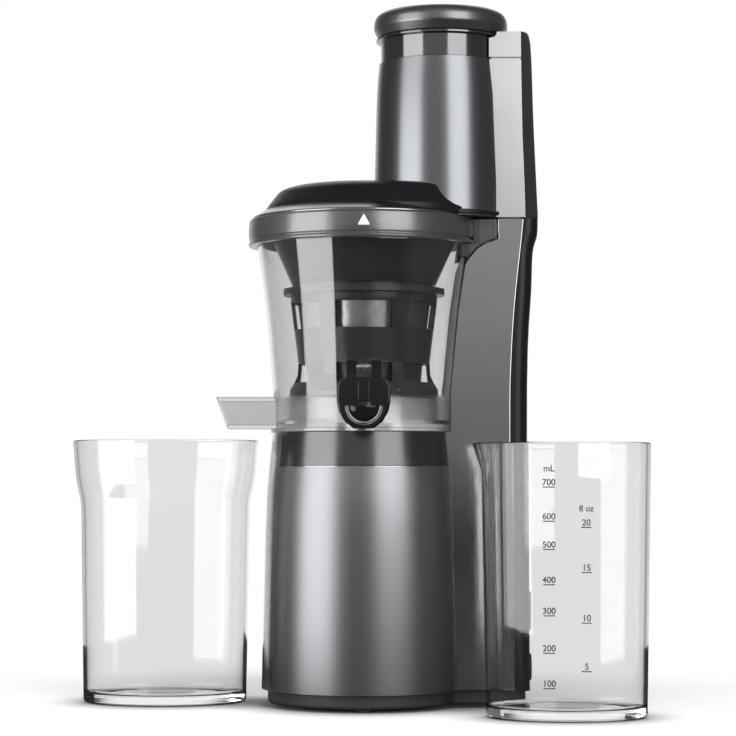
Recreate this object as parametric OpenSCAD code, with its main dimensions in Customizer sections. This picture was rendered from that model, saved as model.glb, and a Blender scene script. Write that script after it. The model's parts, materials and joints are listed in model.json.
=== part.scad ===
// Cold press juicer with a side column, a tall feed chute, a clear bowl,
// a helical auger in a strainer, a turning wiper, and two clear vessels.
// The chamber axis is the Z axis, and the table is the plane z = 0.

/* [Base] */
// Radius of the round body at its foot
foot_r = 65; // [64:0.5:66]
// Radius of the round body a little above its middle
waist_r = 62.5; // [62:0.1:63]
// Radius of the round body at the deck that carries the bowl
deck_r = 58.3; // [58:0.1:59]
// Height of the deck above the table
deck_z = 172.6; // [170:0.2:176]
// Gap between the table and the bottom tray
foot_h = 2; // [1.5:0.1:3]
// Height at which the grey housing starts
tray_top_z = 10.8; // [10:0.1:12]
// Wall thickness of the round part of the housing
body_t = 3.4; // [3:0.1:4]
// Thickness of the metal wrap round the front
wrap_t = 1.2; // [0.8:0.1:1.5]
// Half of the angle that the wrap spans
wrap_half = 61; // [50:1:61]
// Height of the glossy collar above the wrap
collar_h = 21.4; // [18:0.2:24]

/* [Column] */
// Width of the column from side to side
column_w = 56; // [54:1:57]
// Wall thickness of the column
column_t = 2.4; // [2:0.1:3]
// Height of the seam between the column and the tower on the lid
seam_z = 307.1; // [306.5:0.1:307.2]
// Rear edge of the grey side panels at the column's foot
panel_x = 92.2; // [91:0.2:93]
// Rearmost point of the black spine at the column's foot
spine_x = 103; // [102:0.2:104]
// Radius of the spine's rear corners
spine_corner = 8; // [4:0.5:10]
// Gap between the bowl and the hollow face of the column
bowl_gap = 3.5; // [3:0.1:4]

/* [Bowl] */
// Outer radius of the bowl's wall at its foot
bowl_foot_r = 57.9; // [57.5:0.1:58.3]
// Outer radius of the bowl's wall at its middle
bowl_mid_r = 62.3; // [62:0.1:62.6]
// Outer radius of the bowl's wall under the rim
bowl_top_r = 68.2; // [68:0.1:68.6]
// Wall thickness of the bowl
bowl_t = 2.5; // [2.2:0.1:2.7]
// How far the rim band stands out from the bowl's wall
rim_t = 5.7; // [5.4:0.1:5.9]
// Height of the rim band's lower edge
rim_z = 291.5; // [291:0.1:292]
// Height of the rim band's top face, where the lid rests
lid_z = 308; // [307.8:0.1:308.5]

/* [Outlets] */
// Width of the pulp chute
pulp_w = 26; // [24:1:28]
// Reach of the pulp chute's upper edge from the chamber axis
pulp_reach = 93.8; // [90:0.2:96]
// Outer radius of the juice spout
spout_r = 12.7; // [12.5:0.1:12.8]
// Wall thickness of the juice spout
spout_t = 2.4; // [2:0.1:2.5]
// Reach of the juice spout from the chamber axis
spout_reach = 80; // [78:0.5:82]

/* [Pressing parts] */
// Gear module of the wiper's drive
wiper_module = 1.25; // [1.25]
// Teeth of the gear under the auger
auger_teeth = 20; // [20]
// Teeth of the idler between the auger and the wiper
idler_teeth = 24; // [24]
// Wall thickness of the strainer
strainer_t = 2; // [1.8:0.1:2.2]
// Number of window columns round the strainer
strainer_windows = 6; // [6:1:12]
// Number of window columns round the wiper
wiper_windows = 6; // [6]
// Number of silicone blades in the wiper
wiper_blades_n = 3; // [3]
// Turns of each flight round the auger
flight_turns = 1.7; // [1.2:0.1:2.0]
// Number of flights on the auger
flight_starts = 2; // [1:1:3]

/* [Chute and lid] */
// Distance of the feed chute's axis from the chamber axis
chute_x = 49.3; // [48.8:0.1:49.6]
// Inner radius of the feed chute
chute_bore_r = 35.8; // [35.4:0.1:36]
// Outer radius of the metal sleeve at its foot
sleeve_foot_r = 42.8; // [42.4:0.1:43]
// Outer radius of the metal sleeve at its top
sleeve_top_r = 39.4; // [39.2:0.1:39.8]
// Height of the glossy collar above the metal sleeve
mouth_h = 19; // [17:0.5:21]
// Height of the chute's mouth, where the pusher's cap rests
mouth_z = 428; // [426:0.5:430]
// Radius of the pusher's cap
cap_r = 42.9; // [42.5:0.1:43.2]
// Height of the pusher's cap
cap_h = 13.5; // [12:0.5:15]
// Width of the tower on the lid
tower_w = 52; // [50:1:53]

/* [Drive] */
// Gear module of the reduction gears
drive_module = 0.9; // [0.9]
// Teeth of the pinion on the motor's shaft
motor_teeth = 12; // [12]
// Teeth of the large wheel on the counter shaft
wheel_teeth = 48; // [48]
// Teeth of the small pinion on the counter shaft
counter_teeth = 14; // [14]
// Teeth of the gear on the output shaft
output_teeth = 46; // [46]
// Radius of the output shaft
shaft_r = 6; // [5.6:0.1:6.2]
// Width across the flats of the hexagonal drive
hex_w = 12; // [11.6:0.1:12]
// Running clearance of shafts in their bores, as a radius
running = 0.05; // [0.03:0.01:0.08]
// Radius of the motor's case
motor_r = 38; // [37:0.5:39]

/* [Vessels] */
// Half length of the juice jug at its mouth
jug_top_a = 51.3; // [50:0.1:52]
// Half length of the juice jug at its foot
jug_foot_a = 48.4; // [47:0.1:49]
// Height of the juice jug
jug_h = 165; // [160:1:168]
// Half length of the pulp container at its mouth
tub_top_a = 59.8; // [58:0.1:60]
// Half length of the pulp container at its foot
tub_foot_a = 52.2; // [51:0.1:53]
// Height of the pulp container
tub_h = 168; // [165:1:169]
// Depth of both oval vessels as a share of their length
oval = 0.73; // [0.7:0.01:0.75]
// Wall thickness of both vessels
vessel_t = 2.2; // [2:0.1:2.6]

/* [Hidden] */
$fn = 96;
past = 1;            // how far a cutting tool runs past a face
clear = 0.4;         // gap between parts that move past each other

// Round body: radius against height
body_line = [
    [tray_top_z, foot_r], [66, foot_r - 1.2], [121, waist_r],
    [146, waist_r - 1.6], [deck_z, deck_r]
];
function body_r(z) = lookup(z, body_line);
deck_t = 3;
collar_z = deck_z - collar_h;
seam_gap = 0.4;      // shadow gap between the wrap and the collar

// Column seen from the side: rear edge of the panels and of the spine
panel_line = [
    [tray_top_z, panel_x], [171, panel_x], [212, panel_x + 0.6],
    [252, panel_x + 3], [294, panel_x + 7.5], [seam_z, panel_x + 8.8]
];
spine_line = [
    [tray_top_z, spine_x], [200, spine_x], [262, spine_x + 2.8],
    [286, spine_x + 3.8], [297, spine_x + 6.6], [seam_z, spine_x + 7]
];
// Shoulder of the column, where the rim's lug rests over it
rim_r = bowl_top_r + rim_t;
shoulder = [
    [rim_r - 7.7, rim_z - 9.4], [rim_r - 3, rim_z - 3.8],
    [rim_r + 2.8, rim_z + 0.1], [rim_r + 10.3, rim_z + 2.7]
];
shoulder_end = shoulder[len(shoulder) - 1];
lug_x = rim_r + 9.9;              // reach of the lug from the chamber axis
lug_gap = 0.6;                    // gap between the lug and the shoulder

// Tower on the lid seen from the side
tower_z = seam_z + 0.3;
tower_top = mouth_z - 2;
function tower_at(share) = round(tower_z + share * (tower_top - tower_z));
tower_rear = [
    [tower_z, panel_x + 9.6], [tower_at(0.22), panel_x + 9],
    [tower_at(0.49), panel_x + 7.8], [tower_top, panel_x + 7]
];
tower_spine = [
    [tower_z, spine_x + 6.8], [tower_at(0.49), spine_x + 4.2],
    [tower_top - 8, spine_x + 2.3], [tower_top, spine_x - 2.2]
];

// Bowl levels
floor_z = deck_z + 22.4;          // raised floor that carries the strainer
floor_t = 3;                      // thickness of that floor
seal_r = 9.5;                     // seal round the drive, outside and inside
seal_bore_r = 7.5;
sump_z = deck_z + 7.4;            // floor of the juice ring
ledge_z = lid_z - 5;              // top of the wall, carries the strainer
raised_r = 47.5;                  // radius of the raised floor
bowl_line = [
    [deck_z, bowl_foot_r - 0.9], [deck_z + 19, bowl_foot_r - 0.9],
    [deck_z + 21, bowl_foot_r], [198, bowl_foot_r], [248, bowl_mid_r],
    [rim_z, bowl_top_r], [ledge_z, bowl_top_r]
];
function bowl_r(z) = lookup(z, bowl_line);

// Outlets
pulp_z0 = deck_z + 2.2;
pulp_t = 2.4;
pulp_hole = [-33, -22];           // span of the pulp hole along X
pulp_hole_w = 14;
pulp_root = -42;                  // where the open trough starts, along X
pulp_end = -19;                   // inner end of the trough under the floor
pulp_slant = 7.4;                 // how far the mouth leans outwards
spout_z = deck_z + 14.7;
pin_y = -(spout_reach - 5.5);     // hinge pin of the spout's cap
pin_z = spout_z + 23.7;
cap_pin_r = 1.5;
ear_x = [4.6, 10.6];              // span of each ear of the cap along X
ear_r = 4.4;
tab_half = 4.2;                   // half width of the spout's hinge tab
rib_half = 3.7;
hood_drop = 8;                    // how far the hood's sides reach below the spout's axis

// Wiper drive: sun under the auger, idler, internal ring on the wiper
sun_r = wiper_module * auger_teeth / 2;
idler_r = wiper_module * idler_teeth / 2;
ring_teeth = auger_teeth + 2 * idler_teeth;
ring_r = wiper_module * ring_teeth / 2;
idler_x = sun_r + idler_r;
gear_z = floor_z + 0.5;
gear_h = 4.8;
insert_r = 9;
idler_pin_r = 4;

// Strainer: outer radius against height
strainer_z = floor_z + 6.2;
strainer_floor_t = 2.2;
neck_z = 262;                     // bottom of the neck under the hopper
neck_r = 44.3;
hopper_z = 266.6;
hopper_r = 46;
strainer_line = [
    [strainer_z, 36.4], [216.6, 37.4], [257, 42.6], [neck_z, neck_r]
];
function strainer_r(z) = lookup(z, strainer_line);
mesh_t = 0.5;
flange_t = 2;
window_rows = [[219, 235.6], [238, 254.6]];
window_share = 0.8;               // share of the circumference that is open

// Wiper: outer radius against height
wiper_line = [[floor_z + 3, 47.4], [209, 42.4], [216.6, 41.9], [256.6, 46.9]];
wiper_t = 2.2;
wiper_rows = [[204, 216.2], [237.8, 255]];
wiper_share = 0.76;
wiper_top = [260, 264];           // top ring
wiper_ring_r = 51.5;
blade_w = 3;

// Auger
auger_z = strainer_z + 2.7;
auger_top = 290;
socket_top = 216;
auger_pin_r = 4;
pin_reach = 15;                   // how far the pin goes into its bearing
core_line = [[auger_z, 27], [socket_top, 25], [250, 17], [285, 12]];
flight_z = [auger_z + 1.5, 276];
flight_t = [5, 2.6];              // thickness at the root and at the tip
flight_steps = 60;
flight_clear = 0.7;

// Chute, lid and pusher
sleeve_z = lid_z + 3;
sleeve_top_z = mouth_z - mouth_h;
sleeve_t = 1.2;
sleeve_line = [
    [sleeve_z, sleeve_foot_r], [sleeve_z + 19, sleeve_foot_r - 0.3],
    [sleeve_top_z - 22, sleeve_top_r + 1.6], [sleeve_top_z, sleeve_top_r]
];
tube_t = 2;
dome_t = 3;
dome_z = lid_z + 6;
dome_run = 13;                    // how far the dome runs on under the chute
dome_r = rim_r - 10.5;
dome_line = [
    [dome_z, dome_r], [dome_z + 2.4, dome_r - 1.4], [dome_z + 12.6, dome_r - 9.4],
    [dome_z + 15, dome_r - 18], [dome_z + 16, dome_r / 5]
];
skirt_r = rim_r - 1.9;            // outer edge of the grey skirt
throat_r = dome_r - 6.4;          // radius of the way into the bowl
collar_out = sleeve_top_r - sleeve_t;
lip_r = sleeve_top_r + 2.8;
boss_r = chute_x - sleeve_foot_r - 0.1;
boss_z = auger_top + 6;
pusher_z = sleeve_z + 21;
pusher_gap = 0.6;
pusher_t = 2.2;
groove_z = pusher_z + 12;         // groove that holds the pusher's ring
groove_h = 4;
groove_d = 0.8;

// Motor and reduction
motor_z = [18, 86];
end_t = 4;
bearing_r = 11;
rotor_shaft_r = 4;
gear_axis = drive_module * (motor_teeth + wheel_teeth) / 2;
case_r = 56;
case_top = 136;
cover_t = 4;
low_gear_z = [94, 106];
high_gear_z = [108, 122];
counter_pin_r = 3;
post_r = 5;
post_spread = 46;                 // posts between the deck and the gearbox
screw_r = 2;
// Bosses for the tray's screws, as angles round the body
boss_angles = [60, 140, 220, 300];
foot_ring_r = [40, 48];           // inner and outer radius of the foot ring
foot_pad_r = 7;
rear_foot = [86, 15];             // place of the rear feet, X and half the gap
boss_spread = foot_r - body_t - 8.6;

// Vessels
jug_at = [122, -85];
tub_at = [-128, 19];
mark_reach = 5.7;                 // how far the jug's lip stands out

switch_z = 60;
switch_angle = 8;
cord_z = 24;

// ---------- helpers ----------

function flip(line) = [for (i = [len(line) - 1 : -1 : 0]) line[i]];
function turned(line) = [for (p = line) [p[1], p[0]]];

// Solid turned from [height, radius] points, closed on the axis
module turned_solid(line, inset = 0) {
    rotate_extrude()
        polygon(concat([[0, line[0][0]]],
            [for (p = line) [p[1] - inset, p[0]]],
            [[0, line[len(line) - 1][0]]]));
}

// Turned wall of thickness t under an outer [height, radius] line
module turned_wall(line, t) {
    rotate_extrude()
        polygon(concat(turned(line),
            [for (p = flip(line)) [p[1] - t, p[0]]]));
}

// Side profile in the XZ plane, w wide across Y
module side_slab(points, w) {
    rotate([90, 0, 0]) linear_extrude(height = w, center = true)
        polygon(points);
}

module ring(r_out, r_in, z0, z1) {
    translate([0, 0, z0]) difference() {
        cylinder(r = r_out, h = z1 - z0);
        translate([0, 0, -past]) cylinder(r = r_in, h = z1 - z0 + 2 * past);
    }
}

module disc(r, z0, z1) translate([0, 0, z0]) cylinder(r = r, h = z1 - z0);

// Box between two corners
module span(a, b) translate(a) cube(b - a);

// Band of the body's surface from z0 to z1, t deep
module body_band(z0, z1, t) {
    zs = concat([z0], [for (p = body_line) if (p[0] > z0 && p[0] < z1) p[0]],
        [z1]);
    rotate([0, 0, -90 - wrap_half]) rotate_extrude(angle = 2 * wrap_half)
        polygon(concat([for (z = zs) [body_r(z), z]],
            [for (z = flip(zs)) [body_r(z) - t, z]]));
}

// Outline of a spur gear: four points per tooth, with backlash
tooth_share = 0.21;               // half tooth at the pitch circle, in pitches
function gear_points(teeth, m) = [
    for (i = [0 : teeth - 1], c = [
        [-0.5 * m * 2.3, -tooth_share - 0.06], [m * 0.8, -tooth_share + 0.09],
        [m * 0.8, tooth_share - 0.09], [-0.5 * m * 2.3, tooth_share + 0.06]
    ])
    let (r = teeth * m / 2 + c[0], a = (i + c[1]) * 360 / teeth)
    [r * cos(a), r * sin(a)]
];

module gear(teeth, m, z0, h, bore, phase = 0) {
    translate([0, 0, z0]) rotate([0, 0, phase]) difference() {
        linear_extrude(height = h) polygon(gear_points(teeth, m));
        translate([0, 0, -past]) cylinder(r = bore, h = h + 2 * past);
    }
}

// Rounded slice of the black spine, from the panel's edge to the rear
module spine_slice(z, x0, x1, w, h = 0.02) {
    translate([0, 0, z]) linear_extrude(height = h)
        hull() {
            translate([x0, -w / 2]) square([0.5, w]);
            for (s = [-1, 1])
                translate([x1 - spine_corner, s * (w / 2 - spine_corner)])
                    circle(r = spine_corner, $fn = 32);
        }
}

// Everything behind the panel's rear edge, between two heights
module behind(line, z0, z1) {
    side_slab(concat([[200, z0]], turned(line),
        [[200, z1]]), 100);
}

// ---------- base ----------

module bowl_space(extra) {
    turned_solid([
        [deck_z - (extra > 0 ? deck_t : 0), bowl_foot_r + bowl_gap + extra],
        [198, bowl_foot_r + bowl_gap + extra],
        [248, bowl_mid_r + bowl_gap + extra],
        [rim_z + extra, bowl_top_r + bowl_gap + extra]
    ]);
}

module column_outer() {
    side_slab(concat([[30, tray_top_z]], turned(panel_line),
        [[shoulder_end[0], seam_z]], flip(shoulder), [[30, shoulder[0][1]]]),
        column_w);
}

module column_inner() {
    t = column_t;
    side_slab(concat([[20, tray_top_z - past]],
        [for (p = panel_line) [p[1] + past, min(p[0], seam_z - t)]],
        [[shoulder_end[0] + t, seam_z - t]],
        [for (p = flip(shoulder)) [p[0] + t, p[1] - t]],
        [[20, shoulder[0][1] - t]]), column_w - 2 * t);
}

module housing() {
    color("#77797c") difference() {
        union() {
            difference() {
                union() {
                    turned_solid(body_line);
                    column_outer();
                }
                translate([0, 0, -deck_t]) turned_solid(body_line, body_t);
                disc(foot_r - body_t, tray_top_z - deck_t - past,
                    tray_top_z + 0.01);
                difference() {
                    column_inner();
                    bowl_space(column_t);
                }
                bowl_space(0);
            }
            // posts that hold the gearbox under the deck
            for (a = [45 : 90 : 315]) rotate([0, 0, a])
                translate([post_spread, 0, case_top + cover_t])
                    cylinder(r = post_r, h = deck_z - deck_t / 2 - case_top - cover_t);
            // bosses for the tray's screws
            for (a = boss_angles) rotate([0, 0, a])
                translate([boss_spread, 0, foot_h + deck_t]) {
                    cylinder(r = post_r, h = 22);
                    span([0, -1.5, tray_top_z - foot_h - deck_t + clear],
                        [foot_r - body_t + 1 - boss_spread, 1.5, 22]);
                }
            // raised hub round the drive shaft
            disc(18, deck_z - deck_t / 2, deck_z + 6);
        }
        disc(shaft_r + 4, deck_z - deck_t - past, deck_z + 6 + past);
        body_band(tray_top_z, collar_z, wrap_t);
        body_band(collar_z, deck_z, wrap_t);
        for (a = boss_angles) rotate([0, 0, a])
            translate([boss_spread, 0, foot_h])
                cylinder(r = screw_r + running, h = 18);
    }
}

module front_wrap() {
    color("#6a6b6e") body_band(tray_top_z, collar_z - seam_gap, wrap_t);
}

module front_collar() {
    color("#141416") body_band(collar_z, deck_z, wrap_t);
}

module back_cover() {
    t = column_t;
    color("#17181a") difference() {
        intersection() {
            union() {
                for (i = [0 : len(spine_line) - 2]) hull() {
                    spine_slice(spine_line[i][0], 80, spine_line[i][1], column_w);
                    spine_slice(spine_line[i + 1][0] - 0.02, 80,
                        spine_line[i + 1][1], column_w);
                }
            }
            behind(panel_line, tray_top_z, seam_z);
        }
        side_slab(concat([[60, tray_top_z - past]],
            [for (p = spine_line) [p[1] - t, min(p[0], seam_z - t)]],
            [[60, seam_z - t]]), column_w - 2 * spine_corner);
        // openings for the switch and the cord's inlet
        span([spine_x - 20, -7.6, switch_z - 10.1],
            [spine_x + past, 7.6, switch_z + 10.1]);
        translate([spine_x - 20, 0, cord_z]) rotate([0, 90, 0])
            cylinder(r = 6, h = 30);
    }
}

module tray_outline(inset) {
    circle(r = foot_r - 4 - inset);
    translate([0, -(column_w / 2 - 3) + inset])
        square([spine_x - 3 - spine_corner, column_w - 6 - 2 * inset]);
    for (s = [-1, 1])
        translate([spine_x - 3 - spine_corner, s * (column_w / 2 - 3 - spine_corner)])
            circle(r = spine_corner - inset);
    translate([spine_x - 3 - spine_corner, -(column_w / 2 - 3 - spine_corner)])
        square([spine_corner - inset, column_w - 6 - 2 * spine_corner]);
}

module base_tray() {
    color("#1b1c1e") difference() {
        translate([0, 0, foot_h]) linear_extrude(height = tray_top_z - foot_h)
            tray_outline(0);
        translate([0, 0, foot_h + deck_t])
            linear_extrude(height = tray_top_z) tray_outline(2.5);
        // groove and pockets for the rubber feet
        ring(foot_ring_r[1], foot_ring_r[0], foot_h - past, foot_h + 1.2);
        for (s = [-1, 1]) translate([rear_foot[0], s * rear_foot[1], foot_h - past])
            cylinder(r = foot_pad_r, h = past + 1.2);
        // cooling slots under the motor
        for (i = [-3 : 3]) span([-24 + abs(i) * 3, i * 8 - 1.5, foot_h - past],
            [24 - abs(i) * 3, i * 8 + 1.5, foot_h + deck_t + past]);
        for (a = boss_angles) rotate([0, 0, a])
            translate([boss_spread, 0, foot_h - past]) {
                cylinder(r = screw_r + running, h = 10);
                cylinder(r = 3.6, h = past + 1.6);
            }
    }
}

module foot_ring() {
    color("#242424") union() {
        ring(foot_ring_r[1], foot_ring_r[0], 0, foot_h + 1.2);
        difference() {
            translate([0, -foot_ring_r[1] - 3, 0]) cylinder(r = foot_pad_r, h = foot_h);
            disc(foot_ring_r[0] + 2, -past, foot_h + past);
        }
    }
}

module rear_feet() {
    color("#242424") for (s = [-1, 1])
        translate([rear_foot[0], s * rear_foot[1], 0])
            cylinder(r = foot_pad_r, h = foot_h + 1.2);
}

module tray_screws() {
    color("silver") for (a = boss_angles) rotate([0, 0, a])
        translate([boss_spread, 0, foot_h + 0.2]) {
            cylinder(r = 3.4, h = 1.4);
            cylinder(r = screw_r, h = 16);
        }
}

// ---------- motor and gearbox ----------

module motor_can() {
    color("#9a9da1") difference() {
        disc(motor_r, motor_z[0], motor_z[1]);
        disc(motor_r - 2, motor_z[0] + end_t, motor_z[1] - end_t);
        disc(bearing_r, motor_z[0] - past, motor_z[1] + past);
    }
}

module motor_stator() {
    color("#8c5a34") difference() {
        disc(motor_r - 2, motor_z[0] + 10, motor_z[1] - 12);
        disc(24, motor_z[0], motor_z[1]);
    }
}

module motor_bearings() {
    color("silver") for (z = [motor_z[0], motor_z[1] - end_t])
        ring(bearing_r, rotor_shaft_r + running, z, z + end_t);
}

module rotor() {
    color("#8f9296") union() {
        disc(rotor_shaft_r, 7, low_gear_z[1] - 2);
        disc(23.4, motor_z[0] + 12, motor_z[1] - 14);
    }
}

module motor_pinion() {
    color("#b9a36a") gear(motor_teeth, drive_module, low_gear_z[0],
        low_gear_z[1] - low_gear_z[0] - 2, rotor_shaft_r);
}

module cooling_fan() {
    color("#303236") union() {
        ring(9, rotor_shaft_r, 8, 16);
        for (a = [0 : 45 : 315]) rotate([0, 0, a])
            span([8.5, -0.8, 8], [32, 0.8, 16]);
    }
}

module gearbox_case() {
    color("#50545a") difference() {
        disc(case_r, motor_z[1], case_top);
        disc(case_r - 3, motor_z[1] + end_t, case_top + past);
        disc(9, motor_z[1] - past, case_top);
        translate([-gear_axis, 0, motor_z[1] - past])
            cylinder(r = counter_pin_r, h = 20);
    }
}

module gearbox_cover() {
    color("#50545a") difference() {
        disc(case_r, case_top, case_top + cover_t);
        disc(shaft_r + 4, case_top - past, case_top + cover_t + past);
        translate([-gear_axis, 0, case_top - past])
            cylinder(r = counter_pin_r, h = 3);
    }
}

module counter_pin() {
    color("silver") translate([-gear_axis, 0, motor_z[1]])
        cylinder(r = counter_pin_r, h = case_top + 2 - motor_z[1]);
}

module counter_gear() {
    color("#d9d4c4") translate([-gear_axis, 0, 0]) union() {
        gear(wheel_teeth, drive_module, low_gear_z[0], low_gear_z[1] - low_gear_z[0] - 1,
            counter_pin_r + running, 180 / wheel_teeth);
        ring(5, counter_pin_r + running, low_gear_z[1] - 1, high_gear_z[1]);
        ring(5, counter_pin_r + running, motor_z[1] + end_t + 0.4, low_gear_z[0]);
        gear(counter_teeth, drive_module, high_gear_z[0], high_gear_z[1] - high_gear_z[0],
            counter_pin_r + running, 180 / counter_teeth);
    }
}

module drive_gear() {
    color("#d9d4c4") union() {
        gear(output_teeth, drive_module, high_gear_z[0],
            high_gear_z[1] - high_gear_z[0], shaft_r);
        ring(9, shaft_r, high_gear_z[1], case_top - clear);
    }
}

module drive_shaft() {
    color("silver") union() {
        disc(shaft_r, high_gear_z[0] - 1, deck_z + 8);
        translate([0, 0, deck_z + 8]) cylinder(d = hex_w / cos(30),
            h = socket_top - clear - deck_z - 8, $fn = 6);
    }
}

module shaft_bushes() {
    color("#c9a24b") {
        ring(shaft_r + 4, shaft_r + running, case_top, case_top + cover_t);
        ring(shaft_r + 4, shaft_r + running, deck_z - deck_t, deck_z + 3);
    }
}

module deck_seal() {
    color("#303030") ring(shaft_r + 4, shaft_r + clear, deck_z + 3, deck_z + 6);
}

module control_board() {
    y0 = column_w / 2 - column_t;
    x0 = panel_x - 20.2;
    x1 = x0 + 14;
    z0 = floor_z - 5;
    z1 = z0 + 72;
    color("#2d6b45") union() {
        span([x0, y0 - 8, z0], [x1, y0 - 6.4, z1]);
        for (x = [x0 + 3, x1 - 3], z = [z0 + 4, z1 - 4])
            translate([x, y0, z]) rotate([90, 0, 0]) cylinder(r = 1.8, h = 7);
        span([x0 + 2, y0 - 18, z0 + 14], [x1 - 2, y0 - 7.9, z0 + 32]);
        span([x0 + 4, y0 - 14, z0 + 42], [x1 - 4, y0 - 7.9, z0 + 56]);
    }
}

module switch_bezel() {
    color("#101113") difference() {
        union() {
            span([spine_x - 9, -7.5, switch_z - 10], [spine_x, 7.5, switch_z + 10]);
            span([spine_x, -9.5, switch_z - 12], [spine_x + 1.4, 9.5, switch_z + 12]);
        }
        span([spine_x - 10, -6, switch_z - 8.6], [spine_x + 3, 6, switch_z + 8.6]);
        translate([spine_x - 4, 7.2, switch_z]) rotate([90, 0, 0])
            cylinder(r = 1.5 + running, h = 14.4);
    }
}

module rocker() {
    color("#0c0c0d") translate([spine_x - 4, 0, switch_z])
        rotate([0, switch_angle, 0]) union() {
            side_slab([[0, -6.6], [5, -7.6], [4, 0], [5, 7.6], [0, 6.6]], 11.2);
            rotate([90, 0, 0]) cylinder(r = 1.5, h = 14, center = true);
        }
}

module cord_inlet() {
    color("#141414") translate([0, 0, cord_z]) rotate([0, 90, 0])
        difference() {
            union() {
                translate([0, 0, spine_x]) cylinder(r = 8.5, h = 2);
                translate([0, 0, spine_x - 6]) cylinder(r = 6, h = 6);
            }
            translate([0, 0, spine_x - 10]) cylinder(r = 3.6, h = 20);
        }
}

// ---------- bowl ----------

module pulp_block() {
    side_slab([[pulp_root, pulp_z0], [-pulp_reach + pulp_slant, pulp_z0],
        [-pulp_reach, floor_z], [pulp_root, floor_z]], pulp_w);
}

module spout_block(r) {
    translate([0, -50, spout_z]) rotate([90, 0, 0])
        cylinder(r = r, h = spout_reach - 50);
}

module bowl() {
    t = bowl_t;
    skirt_r = bowl_foot_r - 3.4;
    color("#d8dde0", 0.4) difference() {
        rotate_extrude() polygon(concat(
            [[seal_r, floor_z - floor_t], [raised_r - t, floor_z - floor_t],
             [raised_r - t, sump_z - t], [skirt_r, sump_z - t],
             [skirt_r, deck_z], [bowl_foot_r + 1.6, deck_z],
             [bowl_foot_r + 1.6, deck_z + 2.4]],
            [for (p = bowl_line) if (p[0] > deck_z) [p[1], p[0]]],
            [[bowl_top_r - t, ledge_z], [bowl_top_r - t, rim_z],
             [bowl_mid_r - t, 248], [bowl_foot_r - t, 198],
             [skirt_r, floor_z - 4], [skirt_r, sump_z], [raised_r, sump_z],
             [raised_r, floor_z], [seal_r, floor_z]]));
        pulp_block();
        spout_block(spout_r);
        span([pulp_hole[0], -pulp_hole_w / 2, floor_z - floor_t - past],
            [pulp_hole[1], pulp_hole_w / 2, floor_z + past]);
        translate([idler_x, 0, floor_z - floor_t - past])
            cylinder(r = idler_pin_r, h = floor_t + 2 * past);
    }
}

module bowl_rim() {
    color("#5a5f63", 0.7) difference() {
        union() {
            disc(rim_r, rim_z, lid_z);
            side_slab(concat(
                [[bowl_foot_r, lid_z - 1], [lug_x, lid_z - 1],
                 [lug_x, shoulder_end[1] + lug_gap]],
                [for (i = [len(shoulder) - 2 : -1 : 0])
                    [shoulder[i][0], shoulder[i][1] + lug_gap]],
                [[bowl_foot_r, shoulder[0][1] + lug_gap]]), column_w - 4);
        }
        turned_solid([[200, bowl_foot_r], [248, bowl_mid_r], [rim_z, bowl_top_r],
            [lid_z + past, bowl_top_r]]);
    }
}

module pulp_chute() {
    t = pulp_t;
    color("#d8dde0", 0.4) difference() {
        union() {
            pulp_block();
            span([pulp_root - 1, -pulp_w / 2, pulp_z0],
                [pulp_end, pulp_w / 2, floor_z - floor_t]);
        }
        span([-pulp_reach - past, -pulp_w / 2 + t, pulp_z0 + t],
            [pulp_end - t, pulp_w / 2 - t, floor_z - floor_t]);
        // the part inside the bowl's raised floor stays under that floor
        span([pulp_root, -pulp_w, floor_z - floor_t],
            [pulp_end, pulp_w, floor_z + past]);
    }
}

module juice_spout() {
    color("#d8dde0", 0.4) difference() {
        union() {
            spout_block(spout_r);
            // tab that holds the hinge pin
            hull() {
                translate([-tab_half, pin_y, pin_z]) rotate([0, 90, 0])
                    cylinder(r = 3, h = 2 * tab_half, $fn = 32);
                translate([-tab_half, pin_y - 3, spout_z + 5])
                    cube([2 * tab_half, 8, 2]);
            }
        }
        translate([0, -40, spout_z]) rotate([90, 0, 0])
            cylinder(r = spout_r - spout_t, h = spout_reach);
        disc(bowl_foot_r - 3.4, sump_z - 2.5, deck_z + 60);
        disc(bowl_foot_r - 3.4, deck_z - past, sump_z);
        translate([-20, pin_y, pin_z]) rotate([0, 90, 0])
            cylinder(r = cap_pin_r, h = 40);
    }
}

module bowl_seal() {
    color("#3a3a3a") union() {
        ring(seal_r, seal_bore_r, floor_z - floor_t, floor_z);
        ring(seal_r + 3.5, seal_bore_r, floor_z - floor_t - 2, floor_z - floor_t);
    }
}

module idler_pin() {
    color("#cfd2d4") translate([idler_x, 0, 0])
        disc(idler_pin_r, floor_z - floor_t, gear_z + gear_h);
}

module cap_pin() {
    color("silver") translate([-ear_x[1], pin_y, pin_z]) rotate([0, 90, 0])
        cylinder(r = cap_pin_r, h = 2 * ear_x[1]);
}

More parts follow.
